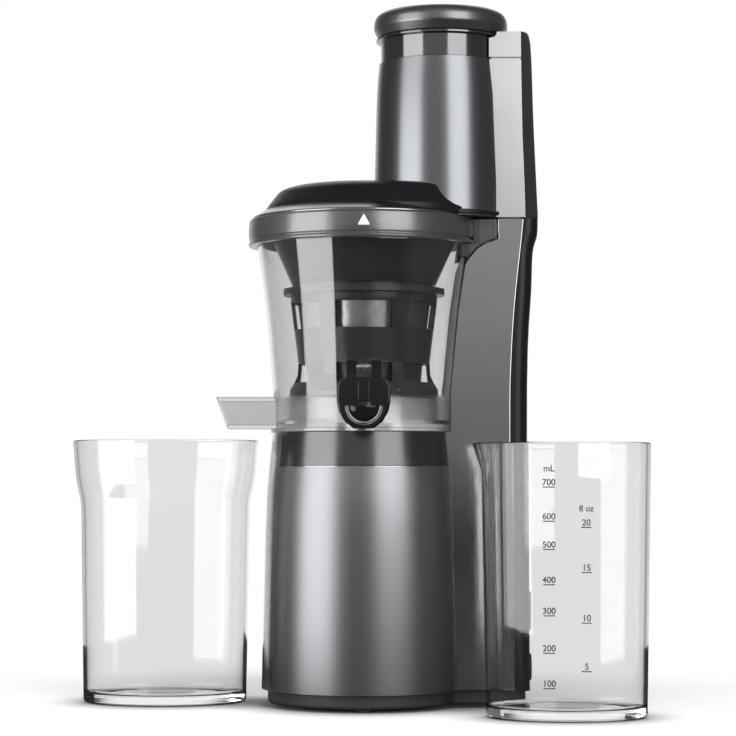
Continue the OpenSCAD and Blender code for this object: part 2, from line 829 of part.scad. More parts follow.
// What the cap's hood covers of a round form: all but its lowest part
module hood_span() {
    intersection() {
        children();
        span([-30, -120, spout_z - hood_drop], [30, 0, spout_z + 40]);
    }
}
module spout_cap() {
    hood_r = spout_r + 3.6;
    color("#0e0e0f") difference() {
        union() {
            // plug, front plate, and the hood round the spout's end
            translate([0, -spout_reach + 3.5, spout_z]) rotate([90, 0, 0])
                cylinder(r = spout_r - spout_t - 0.8, h = 7);
            hood_span() difference() {
                translate([0, pin_y - 3.5, spout_z]) rotate([90, 0, 0])
                    cylinder(r = hood_r, h = 6);
                translate([0, pin_y, spout_z]) rotate([90, 0, 0])
                    cylinder(r = spout_r + clear, h = 10);
            }
            intersection() {
                translate([0, -spout_reach - 0.4, spout_z]) rotate([90, 0, 0])
                    cylinder(r = hood_r, h = 3.6);
                span([-30, -120, spout_z], [30, 0, spout_z + 40]);
            }
            // rib on the plate, and the two ears of the hinge
            span([-rib_half, -spout_reach - 5.2, spout_z + 2],
                [rib_half, -spout_reach - 3, spout_z + spout_r + 3]);
            for (x = [-ear_x[1], ear_x[0]]) hull() {
                translate([x, pin_y, pin_z]) rotate([0, 90, 0])
                    cylinder(r = ear_r, h = ear_x[1] - ear_x[0], $fn = 48);
                translate([x, -spout_reach - 4, spout_z + spout_r + 0.8])
                    cube([ear_x[1] - ear_x[0], 3.2, 2]);
            }
        }
        translate([-20, pin_y, pin_z]) rotate([0, 90, 0])
            cylinder(r = cap_pin_r + running, h = 40);
    }
}

// ---------- strainer, wiper and auger ----------

module windows(n, rows, r0, r1, share, r_mid) {
    w = share * 2 * PI * r_mid / n;
    for (i = [0 : n - 1], row = rows) rotate([0, 0, (i + 0.5) * 360 / n])
        span([r0, -w / 2, row[0]], [r1, w / 2, row[1]]);
}

module strainer_frame() {
    t = strainer_t;
    color("#2a2b2d") difference() {
        union() {
            rotate_extrude() polygon(concat(turned(strainer_line),
                [[neck_r, hopper_z], [hopper_r, hopper_z],
                 [bowl_top_r - 6, ledge_z], [bowl_top_r - 0.6, ledge_z],
                 [bowl_top_r - 0.6, ledge_z + flange_t],
                 [bowl_top_r - 7.8, ledge_z + flange_t],
                 [neck_r - t, hopper_z + t]],
                [for (p = flip(strainer_line)) if (p[0] > strainer_z)
                    [p[1] - t, p[0]]],
                [[34.4, strainer_z + strainer_floor_t],
                 [sun_r + 1.7, strainer_z + strainer_floor_t],
                 [sun_r + 1.7, strainer_z]]));
            // foot of the strainer, open where the idler turns
            difference() {
                ring(36.4, 34, floor_z, strainer_z + 0.2);
                span([0, -20, floor_z - past], [50, 20, strainer_z]);
                span([-50, -pulp_hole_w / 2, floor_z - past],
                    [-30, pulp_hole_w / 2, strainer_z]);
            }
            // chimney that leads the pulp down to the chute
            span([pulp_hole[0] - 1.4, -pulp_hole_w / 2 - 1.4, floor_z],
                [pulp_hole[1] + 1.4, pulp_hole_w / 2 + 1.4, strainer_z + 0.2]);
        }
        span([pulp_hole[0], -pulp_hole_w / 2, floor_z - past],
            [pulp_hole[1], pulp_hole_w / 2, strainer_z + strainer_floor_t + past]);
        windows(strainer_windows, window_rows, 30, 50, window_share, 40);
    }
}

module strainer_mesh() {
    t = strainer_t;
    low = window_rows[0][0] - 1;
    high = window_rows[1][1] + 1;
    color("#b8bcc0") rotate_extrude() polygon([
        [strainer_r(low) - t, low], [strainer_r(high) - t, high],
        [strainer_r(high) - t - mesh_t, high], [strainer_r(low) - t - mesh_t, low]
    ]);
}

module idler_gear() {
    color("#e4e0d6") translate([idler_x, 0, 0])
        gear(idler_teeth, wiper_module, gear_z, gear_h, idler_pin_r + running,
            180 / idler_teeth);
}

// Internal teeth: the outline of a gear as large as the ring, with the
// tooth and the gap changed over
module ring_cutter() {
    p = 360 / ring_teeth;
    translate([0, 0, gear_z - past]) linear_extrude(height = gear_h + 2 * past)
        polygon([for (i = [0 : ring_teeth - 1], c = [
            [-0.8, 0.5 - tooth_share - 0.2], [1.15, 0.5 - tooth_share - 0.02],
            [1.15, 0.5 + tooth_share + 0.02], [-0.8, 0.5 + tooth_share + 0.2]])
            let (r = ring_r + wiper_module * c[0], a = (i + c[1]) * p)
            [r * cos(a), r * sin(a)]]);
}

module wiper_frame() {
    t = wiper_t;
    w = wiper_line;
    color("#1f2022") difference() {
        rotate_extrude() polygon(concat(
            [[38, gear_z], [w[0][1], gear_z]], turned(w),
            [[w[3][1], wiper_top[0]], [wiper_ring_r, wiper_top[0]],
             [wiper_ring_r, wiper_top[1]], [neck_r + 0.5, wiper_top[1]],
             [neck_r + 0.5, w[3][0]], [w[2][1] - t, w[2][0]],
             [w[1][1] - t, w[1][0]], [ring_r - 1.2, gear_z + gear_h + 1],
             [38, gear_z + gear_h + 1]]));
        ring_cutter();
        disc(ring_r - 1, gear_z - past, gear_z + gear_h + 1 + past);
        windows(wiper_windows, wiper_rows, 36, 60, wiper_share, 44);
    }
}

module wiper_blades() {
    low = 217.5;
    high = 256;
    t = wiper_t;
    function out_r(z) = lookup(z, wiper_line) - t;
    color("#8d9194") for (i = [0 : wiper_blades_n - 1])
        rotate([0, 0, i * 360 / wiper_blades_n])
            side_slab([[out_r(low) - 0.05, low], [out_r(high) - 0.05, high],
                [strainer_r(high) + clear, high],
                [strainer_r(low) + clear, low]], blade_w);
}

function core_r(z) = lookup(z, core_line);
function flight_r(z) = z < 256
    ? strainer_r(z) - strainer_t - mesh_t - flight_clear
    : lookup(z, [[256, strainer_r(256) - strainer_t - mesh_t - flight_clear],
        [flight_z[1], 24]]);

// Four corners of the flight's section at one step of the helix
function flight_section(i) =
    let (f = i / flight_steps, z = flight_z[0] + f * (flight_z[1] - flight_z[0]),
        a = 360 * flight_turns * f, grow = min(1, 8 * min(f, 1 - f) + 0.12),
        root = core_r(z) - 1.5,
        tip = root + 1.5 + (flight_r(z) - root - 1.5) * grow)
    [for (c = [[root, -flight_t[0] / 2], [tip, -flight_t[1] / 2],
        [tip, flight_t[1] / 2], [root, flight_t[0] / 2]])
        [c[0] * cos(a), c[0] * sin(a), z + flight_t[0] / 2 + c[1]]];

module flight() {
    n = flight_steps;
    polyhedron(
        points = [for (i = [0 : n]) each flight_section(i)],
        faces = concat(
            [for (i = [0 : n - 1], j = [0 : 3], half = [0, 1])
                let (a = 4 * i + j, b = 4 * i + (j + 1) % 4)
                half == 0 ? [a, b, a + 4] : [b, b + 4, a + 4]],
            [[0, 3, 2], [0, 2, 1]],
            [[4 * n, 4 * n + 1, 4 * n + 2], [4 * n, 4 * n + 2, 4 * n + 3]]));
}

module auger() {
    color("#3b3d40") union() {
        difference() {
            turned_solid(concat(core_line,
                [[auger_top - 1.5, 10.5], [auger_top, 8]]));
            disc(insert_r, auger_z - past, socket_top);
            disc(auger_pin_r, auger_top - 8, auger_top + past);
        }
        for (s = [0 : flight_starts - 1]) rotate([0, 0, s * 360 / flight_starts])
            flight();
    }
}

module auger_gear() {
    color("#e4e0d6") gear(auger_teeth, wiper_module, gear_z, gear_h, insert_r);
}

module auger_insert() {
    color("#5b5e62") difference() {
        disc(insert_r, gear_z, socket_top);
        translate([0, 0, gear_z - past]) cylinder(d = (hex_w + clear) / cos(30),
            h = socket_top - gear_z + 2 * past, $fn = 6);
    }
}

module auger_pin() {
    color("silver") disc(auger_pin_r, auger_top - 8, boss_z + pin_reach);
}

// ---------- lid, chute and tower ----------

module at_chute() translate([chute_x, 0, 0]) children();

module sleeve_solid() {
    at_chute() turned_solid(sleeve_line);
}

module lid_seal() {
    color("#3c3c3e") ring(bowl_top_r - 0.6, bowl_top_r - 5.5,
        ledge_z + flange_t, lid_z);
}

module skirt_solid() {
    turned_solid([[lid_z, skirt_r], [lid_z + 0.8, skirt_r], [dome_z, dome_r]]);
}

module lid_skirt() {
    color("#85888b") difference() {
        skirt_solid();
        disc(throat_r + 1, lid_z - past, dome_z + past);
        at_chute() disc(sleeve_foot_r, lid_z - past, dome_z + past);
    }
}

// Turned form that runs on along X, as a loaf does
module run_on(line) {
    turned_solid(line);
    translate([dome_run, 0, 0]) turned_solid(line);
    rotate([90, 0, 90]) linear_extrude(height = dome_run)
        polygon(concat(turned(line), [for (p = flip(line)) [-p[1], p[0]]]));
}

module lid_dome() {
    inside = [
        [dome_z - past, dome_r - 2.8], [dome_z + 1.6, dome_r - 3.8],
        [dome_z + 9.8, dome_r - 11], [dome_z + 12, dome_r - 19],
        [dome_z + 16 - dome_t, dome_r / 5]
    ];
    color("#0d0d0e") difference() {
        union() {
            run_on(dome_line);
            // wall that comes down in front of the chute's foot
            translate([dome_run, 0, 0])
                turned_solid([[lid_z + 1.2, dome_r], [dome_z, dome_r],
                    [dome_z + 1, dome_r - 1]]);
        }
        run_on(inside);
        skirt_solid();
        disc(dome_r - 0.1, lid_z, dome_z);
        at_chute() disc(sleeve_foot_r, lid_z - past, dome_z + 30);
        span([chute_x, -tower_w / 2, lid_z], [rim_r * 2, tower_w / 2, dome_z + 20]);
    }
}

module feed_tube() {
    color("#1c1d1f") difference() {
        at_chute() union() {
            ring(chute_bore_r + tube_t, chute_bore_r, sleeve_z, sleeve_top_z);
            disc(sleeve_foot_r, lid_z, sleeve_z);
        }
        intersection() {
            at_chute() disc(chute_bore_r, lid_z - past, sleeve_z + past);
            disc(throat_r, lid_z - past, sleeve_z + past);
        }
        disc(boss_r, lid_z - past, sleeve_z + past);
    }
}

module chute_sleeve() {
    color("#737578") at_chute() turned_wall(sleeve_line, sleeve_t);
}

module chute_collar() {
    color("#101012") at_chute() rotate_extrude() polygon([
        [chute_bore_r, sleeve_top_z], [collar_out, sleeve_top_z],
        [collar_out, mouth_z - 4.5], [lip_r - 0.6, mouth_z - 3], [lip_r, mouth_z - 2],
        [lip_r, mouth_z], [chute_bore_r + 1.4, mouth_z], [chute_bore_r, mouth_z - 3]
    ]);
}

module tower_panel() {
    t = column_t;
    color("#8b8e91") difference() {
        side_slab(concat([[60, tower_z]], turned(tower_rear), [[60, tower_top]]),
            tower_w);
        difference() {
            side_slab(concat([[50, tower_z + t]],
                [for (p = tower_rear) [p[1] + past, max(tower_z + t,
                    min(p[0], tower_top - t))]],
                [[50, tower_top - t]]), tower_w - 2 * t);
            at_chute() disc(sleeve_foot_r + t, lid_z, mouth_z);
        }
        at_chute() disc(sleeve_foot_r, sleeve_z - past * 4, sleeve_z + 21);
        at_chute() turned_solid([[sleeve_z + 19, sleeve_foot_r],
            [sleeve_top_z - 22, sleeve_top_r + 1.8],
            [sleeve_top_z, sleeve_top_r + 0.1], [mouth_z - 6, sleeve_top_r + 0.1],
            [mouth_z - 5, lip_r + 0.2], [mouth_z + past, lip_r + 0.2]]);
        disc(rim_r + clear, tower_z - past, lid_z + 0.2);
    }
}

module tower_cover() {
    t = column_t;
    color("#131415") difference() {
        intersection() {
            union() {
                for (i = [0 : len(tower_spine) - 2]) hull() {
                    spine_slice(tower_spine[i][0], 84, tower_spine[i][1], tower_w);
                    spine_slice(tower_spine[i + 1][0] - 0.02, 84,
                        tower_spine[i + 1][1], tower_w);
                }
            }
            behind(tower_rear, tower_z, tower_top);
        }
        side_slab(concat([[60, tower_z + t]],
            [for (p = tower_spine) [p[1] - t - (p[0] > tower_top - 6 ? 3 : 0),
                max(tower_z + t, min(p[0], tower_top - t))]],
            [[60, tower_top - t]]), tower_w - 2 * spine_corner);
    }
}

module lid_bearing() {
    color("#c9ccce") difference() {
        disc(boss_r, boss_z, dome_z + 16 - dome_t);
        disc(auger_pin_r + running, boss_z - past, boss_z + pin_reach + 1);
    }
}

module pusher_cap() {
    e = 3;               // radius of the rounded top edge
    color("#0f0f10") at_chute() difference() {
        rotate_extrude() union() {
            translate([0, mouth_z]) square([cap_r, cap_h - e]);
            translate([0, mouth_z]) square([cap_r - e, cap_h]);
            translate([cap_r - e, mouth_z + cap_h - e]) circle(r = e);
        }
        disc(chute_bore_r - pusher_gap - pusher_t, mouth_z - past,
            mouth_z + cap_h - e);
    }
}

module pusher_tube() {
    r = chute_bore_r - pusher_gap;
    color("#17181a") at_chute() difference() {
        disc(r, pusher_z, mouth_z);
        disc(r - pusher_t, pusher_z + pusher_t, mouth_z + past);
        ring(r + past, r - groove_d, groove_z, groove_z + groove_h);
    }
}

module pusher_ring() {
    r = chute_bore_r - pusher_gap;
    color("#4a4a4c") at_chute() ring(r + 0.25, r - groove_d, groove_z,
        groove_z + groove_h);
}

// ---------- vessels ----------

// Oval slice of half length a at height z
module oval_slice(a, z) {
    translate([0, 0, z]) linear_extrude(height = 0.02)
        scale([1, oval]) circle(r = a, $fn = 64);
}

module oval_solid(foot_a, top_a, z0, z1) {
    hull() {
        oval_slice(foot_a, z0);
        oval_slice(top_a, z1 - 0.02);
    }
}

module juice_jug() {
    t = vessel_t;
    color("#dfe3e5", 0.4) translate([jug_at[0], jug_at[1], 0]) difference() {
        union() {
            oval_solid(jug_foot_a, jug_top_a, 0, jug_h);
            hull() {
                translate([-jug_top_a - mark_reach + 3, 0, jug_h - 3])
                    cylinder(r = 3, h = 3, $fn = 32);
                translate([-jug_top_a + 8, -11, jug_h - 15]) cube([2, 22, 15]);
            }
        }
        oval_solid(jug_foot_a - t, jug_top_a - t, 2 * t, jug_h + past);
        hull() {
            translate([-jug_top_a - mark_reach + 4.6, 0, jug_h - 1.5])
                cylinder(r = 2.4, h = 3, $fn = 32);
            translate([-jug_top_a + 10, -9, jug_h - 12]) cube([2, 18, 15]);
        }
    }
}

module pulp_container() {
    t = vessel_t;
    shoulder_z = [tub_h * 0.76, tub_h * 0.86];
    low_a = tub_foot_a + 2.2;
    high_a = tub_top_a - 1.8;
    color("#dfe3e5", 0.4) translate([tub_at[0], tub_at[1], 0]) difference() {
        union() {
            oval_solid(tub_foot_a, low_a, 0, shoulder_z[0]);
            oval_solid(low_a, high_a, shoulder_z[0], shoulder_z[1]);
            oval_solid(high_a, tub_top_a, shoulder_z[1], tub_h);
        }
        oval_solid(tub_foot_a - t, low_a - t, 2 * t, shoulder_z[0] + 0.02);
        oval_solid(low_a - t, high_a - t, shoulder_z[0], shoulder_z[1] + 0.02);
        oval_solid(high_a - t, tub_top_a - t, shoulder_z[1], tub_h + past);
    }
}

housing();
front_wrap();
front_collar();
back_cover();
base_tray();
foot_ring();
rear_feet();
tray_screws();
motor_can();
motor_stator();
motor_bearings();
gearbox_case();
gearbox_cover();
counter_pin();
shaft_bushes();
deck_seal();
control_board();
switch_bezel();
cord_inlet();
rotor();
motor_pinion();
cooling_fan();
counter_gear();
drive_gear();
drive_shaft();
rocker();
bowl();
bowl_rim();
pulp_chute();
juice_spout();
bowl_seal();
idler_pin();
cap_pin();
strainer_frame();
strainer_mesh();
idler_gear();
wiper_frame();
wiper_blades();
auger();
auger_gear();
auger_insert();
auger_pin();
spout_cap();
lid_seal();
lid_skirt();
lid_dome();
feed_tube();
chute_sleeve();
chute_collar();
tower_panel();
tower_cover();
lid_bearing();
pusher_cap();
pusher_tube();
pusher_ring();
juice_jug();
pulp_container();
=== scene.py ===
"""Looks of the cold press juicer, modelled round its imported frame.

All lengths in the piece functions are millimetres; place() turns them into metres.
The chamber axis is Z, the column stands towards +X, and the juice runs out towards -Y.
"""
import json
import math

import bmesh
import bpy
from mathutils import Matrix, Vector


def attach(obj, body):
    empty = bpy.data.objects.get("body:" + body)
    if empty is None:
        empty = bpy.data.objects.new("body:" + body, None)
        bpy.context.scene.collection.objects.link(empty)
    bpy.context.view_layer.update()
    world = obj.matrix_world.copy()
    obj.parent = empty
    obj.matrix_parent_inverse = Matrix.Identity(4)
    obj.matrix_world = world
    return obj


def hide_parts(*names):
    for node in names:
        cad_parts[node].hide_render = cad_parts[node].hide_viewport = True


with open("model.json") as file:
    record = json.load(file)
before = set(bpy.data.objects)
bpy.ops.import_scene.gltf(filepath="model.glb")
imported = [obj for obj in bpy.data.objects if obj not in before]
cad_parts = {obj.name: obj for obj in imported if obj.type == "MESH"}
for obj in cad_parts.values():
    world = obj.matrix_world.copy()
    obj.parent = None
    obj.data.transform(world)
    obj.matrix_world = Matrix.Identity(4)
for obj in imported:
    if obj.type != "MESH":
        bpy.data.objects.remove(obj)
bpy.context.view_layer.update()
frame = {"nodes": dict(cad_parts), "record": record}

MM = 0.001
ROUND = 128                 # steps of a full turn
SMOOTH = 32                 # edges flatter than this many degrees are shaded smooth

# ---------- sizes shared by the pieces, in millimetres ----------
# A line is a list of heights and radii.

# base
TRAY_TOP = 10.8
TRAY_R = 61                 # the tray's round front
TRAY_HALF = 25              # half of its width at the rear
TRAY_FOOT = 2               # the height of its underside
TRAY_T = 3.5
DECK_Z = 172.6              # the body's top, where the bowl stands
BODY_LINE = [(TRAY_TOP, 65), (66, 63.8), (121, 62.5), (146, 60.9), (DECK_Z, 58.3)]
BODY_T = 3.4
COLLAR_Z = 151.2            # the front collar's lower edge
WRAP_TURN = 61              # half of the angle that the wrap spans
WRAP_T = 1.2
COLUMN_HALF = 28            # half of the column's width
SEAM_Z = 307.1              # the seam between the column and the tower
SEAM_GAP = 0.1              # between the grey column or tower and its black spine
COLUMN_REAR = [(92.2, TRAY_TOP), (92.2, 171), (92.8, 212), (95.2, 252), (99.7, 294),
               (101.0, SEAM_Z)]        # seen from the side, X and Z
SPINE_CORNER = 8            # radius of the spine's rear corners
SWITCH_Z = 60
ROCKER_X = 99               # the rocker's pin
ROCKER_TILT = 8             # degrees at rest
CORD_Z = 24                 # the middle of the cord's inlet

# bowl
BOWL_FOOT_R = 57.9
BOWL_TOP_R = 68.2
BOWL_T = 2.5
RIM_Z = 291.5               # the rim's lower edge
RIM_R = 73.9
BOWL_LINE = [(198, BOWL_FOOT_R), (248, 62.3), (RIM_Z, BOWL_TOP_R)]
BOWL_GAP = 3.5              # between the bowl and the column
FLOOR_UNDER, FLOOR_TOP = 192, 195
SUMP_TOP = 195.5            # the bowl is duller below this height
PULP_Z, PULP_TOP = 174.8, 195          # underside and top of the pulp chute
PULP_HALF = 13
PULP_T = 2.4
SPOUT_Z = 187.3
SPOUT_R = 12.7
PIN_AT = (-74.5, 211)       # the pin of the spout's cap, Y and Z

# lid, chute and tower
LID_Z = 308
SKIRT_Z = 309.2             # top of the lid skirt's outer edge
DOME_Z = 314
DOME_R = 63.4
DOME_RUN = 13               # how far the dome runs on towards the chute
CHUTE_X = 49.3
SLEEVE_TOP = 409
SLEEVE_LINE = [(311, 42.8), (330, 42.5), (387, 41.0), (SLEEVE_TOP, 39.4)]
SLEEVE_ROOM_R = 42.85       # the hole for the sleeve
MOUTH_Z = 428
CAP_TOP = 441.5
TOWER_HALF = 26
TOWER_Z = 307.4
TOWER_TOP = 426

# vessels
JUG_AT = (122, -85)
JUG_H = 165
JUG_FOOT_R, JUG_TOP_R = 48.4, 51.3
MARK_SIZE = 5.2
ML_X, OZ_X = 109, 131       # the middles of the jug's two columns of numbers
STROKE_W = 0.7
TUB_AT = (-128, 19)
TUB_H = 168
OVAL = 0.73                 # depth of a vessel over its width

# ---------- the table and the camera, in metres ----------

TABLE_R = 0.62
TABLE_NEAR, TABLE_FAR = 0.19, 0.36     # the table turns into plain white between these
CONTACT_REACH = 0.04        # width of the soft shadow where something stands on it
FLOOR_WHITE = (0.95, 0.95, 0.95)
FLOOR_GLOW = 0.04           # how much the near part of the table glows by itself
CAMERA_AT = (0.00256, -1.563, 0.1414)
CAMERA_RISE = 2.66          # degrees that the camera looks up
CAMERA_LENS, CAMERA_SENSOR = 119.7, 36


def place(x, y, z):
    """A point in metres from one in millimetres."""
    return Vector((x * MM, y * MM, z * MM))


# ---------- modelling by hand ----------

def begin(name):
    """Adds a small plane, merges it to one point and leaves it in edit mode."""
    if bpy.context.object and bpy.context.object.mode == "EDIT":
        bpy.ops.object.mode_set(mode="OBJECT")
    bpy.ops.object.select_all(action="DESELECT")
    bpy.ops.mesh.primitive_plane_add(size=MM, enter_editmode=True)
    bpy.ops.mesh.select_mode(type="VERT")
    bpy.ops.mesh.select_all(action="SELECT")
    bpy.ops.mesh.merge(type="CENTER")
    piece = bpy.context.object
    piece.name = name
    piece.data.name = name
    return piece


def pick(piece, kind, test):
    """Selects the vertices, edges or faces whose middle, in millimetres, passes the test."""
    bpy.ops.mesh.select_mode(type={"verts": "VERT", "edges": "EDGE", "faces": "FACE"}[kind])
    bpy.ops.mesh.select_all(action="DESELECT")
    mesh = bmesh.from_edit_mesh(piece.data)
    for part in getattr(mesh, kind):
        if kind == "verts":
            middle = part.co / MM
        elif kind == "edges":
            middle = (part.verts[0].co + part.verts[1].co) / (2 * MM)
        else:
            middle = part.calc_center_median() / MM
        if test(middle, part):
            part.select_set(True)
    mesh.select_flush_mode()
    bmesh.update_edit_mesh(piece.data)


def draw(name, points, lift, closed=True, fill=False):
    """Draws an outline edge by edge. A point may end with the radius of its corner.

    lift turns the two numbers of a point into a place in millimetres.
    """
    piece = begin(name)
    places = [place(*lift(p[0], p[1])) for p in points]
    bpy.ops.transform.translate(value=places[0])
    for before, after in zip(places, places[1:]):
        bpy.ops.mesh.extrude_vertices_move(
            TRANSFORM_OT_translate={"value": after - before})
    if closed:
        ends = (places[0], places[-1])
        pick(piece, "verts", lambda m, v: any((v.co - e).length < 1e-7 for e in ends))
        bpy.ops.mesh.edge_face_add()
    for radius in sorted({p[2] for p in points if len(p) > 2}):
        corners = [w for w, p in zip(places, points) if len(p) > 2 and p[2] == radius]
        pick(piece, "verts", lambda m, v: any((v.co - c).length < 1e-7 for c in corners))
        bpy.ops.mesh.bevel(offset=radius * MM, offset_type="OFFSET", affect="VERTICES",
                           segments=6, clamp_overlap=True)
    bpy.ops.mesh.select_mode(type="VERT")
    bpy.ops.mesh.select_all(action="SELECT")
    if fill:
        bpy.ops.mesh.edge_face_add()
    return piece


def close_up(piece):
    """Merges doubles, turns every face outwards and leaves edit mode."""
    bpy.ops.mesh.select_all(action="SELECT")
    bpy.ops.mesh.remove_doubles(threshold=MM / 1000)
    bpy.ops.mesh.normals_make_consistent(inside=False)
    bpy.ops.object.mode_set(mode="OBJECT")
    return piece


def turned(name, points, axis_x=0, axis_y=0, steps=ROUND, start=0, angle=360):
    """A form turned on a lathe: points are (radius, height), closed into a loop.

    The spin operator turns clockwise, so its angle is negative.
    """
    part_turn = angle < 360
    a = math.radians(start)
    piece = draw(name, points, lambda r, z: (axis_x + r * math.cos(a),
                                             axis_y + r * math.sin(a), z), fill=part_turn)
    bpy.ops.mesh.select_all(action="SELECT")
    bpy.ops.mesh.spin(steps=steps, angle=-math.radians(angle),
                      center=place(axis_x, axis_y, 0), axis=(0, 0, 1))
    return close_up(piece)


def turned_x(name, points, y, z, steps=64):
    """A form turned about a line along X: points are (x, radius)."""
    piece = draw(name, points, lambda x, r: (x, y + r, z))
    bpy.ops.mesh.spin(steps=steps, angle=math.tau, center=place(0, y, z), axis=(1, 0, 0))
    return close_up(piece)


def turned_y(name, points, x, z, steps=96):
    """A form turned about a line along Y: points are (y, radius)."""
    piece = draw(name, points, lambda y, r: (x + r, y, z))
    bpy.ops.mesh.spin(steps=steps, angle=-math.tau, center=place(x, 0, z), axis=(0, 1, 0))
    return close_up(piece)


def drawn_out(name, points, lift, way):
    """A flat outline, filled and drawn out along a way in millimetres."""
    piece = draw(name, points, lift, fill=True)
    bpy.ops.mesh.extrude_region_move(TRANSFORM_OT_translate={"value": place(*way)})
    return close_up(piece)


def side_slab(name, points, half, middle_y=0):
    """A form drawn from the side, in X and Z, and drawn out across Y."""
    return drawn_out(name, points, lambda x, z: (x, middle_y - half, z), (0, 2 * half, 0))


def plan_slab(name, points, z0, z1):
    """A form drawn from above, in X and Y, and drawn up from z0 to z1."""
    return drawn_out(name, points, lambda x, y: (x, y, z0), (0, 0, z1 - z0))


def front_slab(name, points, y0, y1):
    """A form drawn from the front, in X and Z, and drawn back from y0 to y1."""
    return drawn_out(name, points, lambda x, z: (x, y0, z), (0, y1 - y0, 0))


def cross_slab(name, points, x, width):
    """A form drawn from the side, in Y and Z, and drawn out along X."""
    return drawn_out(name, points, lambda y, z: (x, y, z), (width, 0, 0))


def rod(name, a, b, radius, steps=48):
    """A round bar between two points, its ends ready to be softened."""
    start, end = place(*a), place(*b)
    bpy.ops.object.select_all(action="DESELECT")
    bpy.ops.mesh.primitive_cylinder_add(
        vertices=steps, radius=radius * MM, depth=(end - start).length,
        location=(start + end) / 2,
        rotation=(end - start).to_track_quat("Z", "Y").to_euler())
    piece = bpy.context.object
    piece.name = name
    piece.data.name = name
    bpy.ops.object.transform_apply(location=True, rotation=True, scale=True)
    return piece


def activate(piece):
    """Makes a piece the only selected one and the active one."""
    if bpy.context.object and bpy.context.object.mode == "EDIT":
        bpy.ops.object.mode_set(mode="OBJECT")
    bpy.ops.object.select_all(action="DESELECT")
    bpy.context.view_layer.objects.active = piece
    piece.select_set(True)


def apply_modifier(piece, kind, **settings):
    """Adds one modifier with its settings and applies it."""
    activate(piece)
    modifier = piece.modifiers.new(kind.lower(), kind)
    for key, value in settings.items():
        setattr(modifier, key, value)
    bpy.ops.object.modifier_apply(modifier=modifier.name)
    return piece


def soften(piece, width, segments=3, angle=34):
    """Rounds every edge sharper than the angle."""
    return apply_modifier(piece, "BEVEL", width=width * MM, segments=segments,
                          limit_method="ANGLE", angle_limit=math.radians(angle),
                          use_clamp_overlap=True, miter_outer="MITER_ARC")


def cut(piece, *tools):
    """Takes the tools' forms away from the piece, and the tools with them."""
    return combine(piece, "DIFFERENCE", *tools)


def weld(piece, *others):
    """Joins other forms to the piece as one skin."""
    return combine(piece, "UNION", *others)


def combine(piece, operation, *tools):
    """Cuts, welds or intersects the piece with each tool in turn."""
    for tool in tools:
        apply_modifier(piece, "BOOLEAN", operation=operation, object=tool, solver="EXACT")
        bpy.data.objects.remove(tool)
    return piece


def round_edges(piece, width, test, segments=4):
    """Bevels the edges picked by a test on their middle and the edge itself."""
    activate(piece)
    bpy.ops.object.mode_set(mode="EDIT")
    pick(piece, "edges", test)
    bpy.ops.mesh.bevel(offset=width * MM, offset_type="OFFSET", segments=segments,
                       affect="EDGES", clamp_overlap=True)
    bpy.ops.object.mode_set(mode="OBJECT")
    return piece


def join(name, *pieces):
    """Makes several separate forms one object."""
    activate(pieces[0])
    for p in pieces[1:]:
        p.select_set(True)
    bpy.ops.object.join()
    pieces[0].name = name
    return pieces[0]


def finish_piece(piece, body, material, slot, *nodes):
    """Shades a piece, gives it its material and body, and hides the nodes it stands for. The
    slot is not used.
    """
    activate(piece)
    bpy.ops.object.shade_smooth_by_angle(angle=math.radians(SMOOTH))
    apply_modifier(piece, "WEIGHTED_NORMAL", mode="FACE_AREA_WITH_ANGLE", keep_sharp=True)
    piece.data.materials.clear()
    piece.data.materials.append(material)
    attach(piece, body)
    if nodes:
        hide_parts(*nodes)
    return piece


def flow(points, between=6):
    """A smooth line through points, as extra points between each pair of them."""
    line = [points[0]] + list(points) + [points[-1]]
    out = []
    for i in range(1, len(line) - 2):
        p0, p1, p2, p3 = line[i - 1], line[i], line[i + 1], line[i + 2]
        for k in range(between):
            t = k / between
            out.append(tuple(
                0.5 * (2 * b + (c - a) * t + (2 * a - 5 * b + 4 * c - d) * t * t
                       + (3 * b - a - 3 * c + d) * t ** 3)
                for a, b, c, d in zip(p0, p1, p2, p3)))
    out.append(tuple(points[-1]))
    return out


def part_of(line, z0, z1):
    """The stretch of a (height, radius) line between two heights, as (radius, height)."""
    inner = [(r, z) for z, r in line if z0 < z < z1]
    return [(at(line, z0), z0)] + inner + [(at(line, z1), z1)]


def at(line, z):
    """The radius of a (height, radius) line at one height."""
    if z <= line[0][0]:
        return line[0][1]
    for (za, ra), (zb, rb) in zip(line, line[1:]):
        if z <= zb:
            return ra + (rb - ra) * (z - za) / (zb - za)
    return line[-1][1]


def wall(line, thickness):
    """A closed loop: a (radius, height) line and its copy moved inwards."""
    return list(line) + [(r - thickness, z) for r, z in reversed(line)]


# ---------- materials ----------

class Value:
    """One socket of a material. Sums written with it become Math nodes."""

    def __init__(self, paint, socket):
        self.paint = paint
        self.socket = socket

    def sum(self, operation, a, b):
        return self.paint.node("ShaderNodeMath", {"operation": operation}, {0: a, 1: b})

    def __add__(self, other):
        return self.sum("ADD", self, other)

    def __sub__(self, other):
        return self.sum("SUBTRACT", self, other)

    def __rsub__(self, other):
        return self.sum("SUBTRACT", other, self)

    def __mul__(self, other):
        return self.sum("MULTIPLY", self, other)

    __radd__ = __add__
    __rmul__ = __mul__


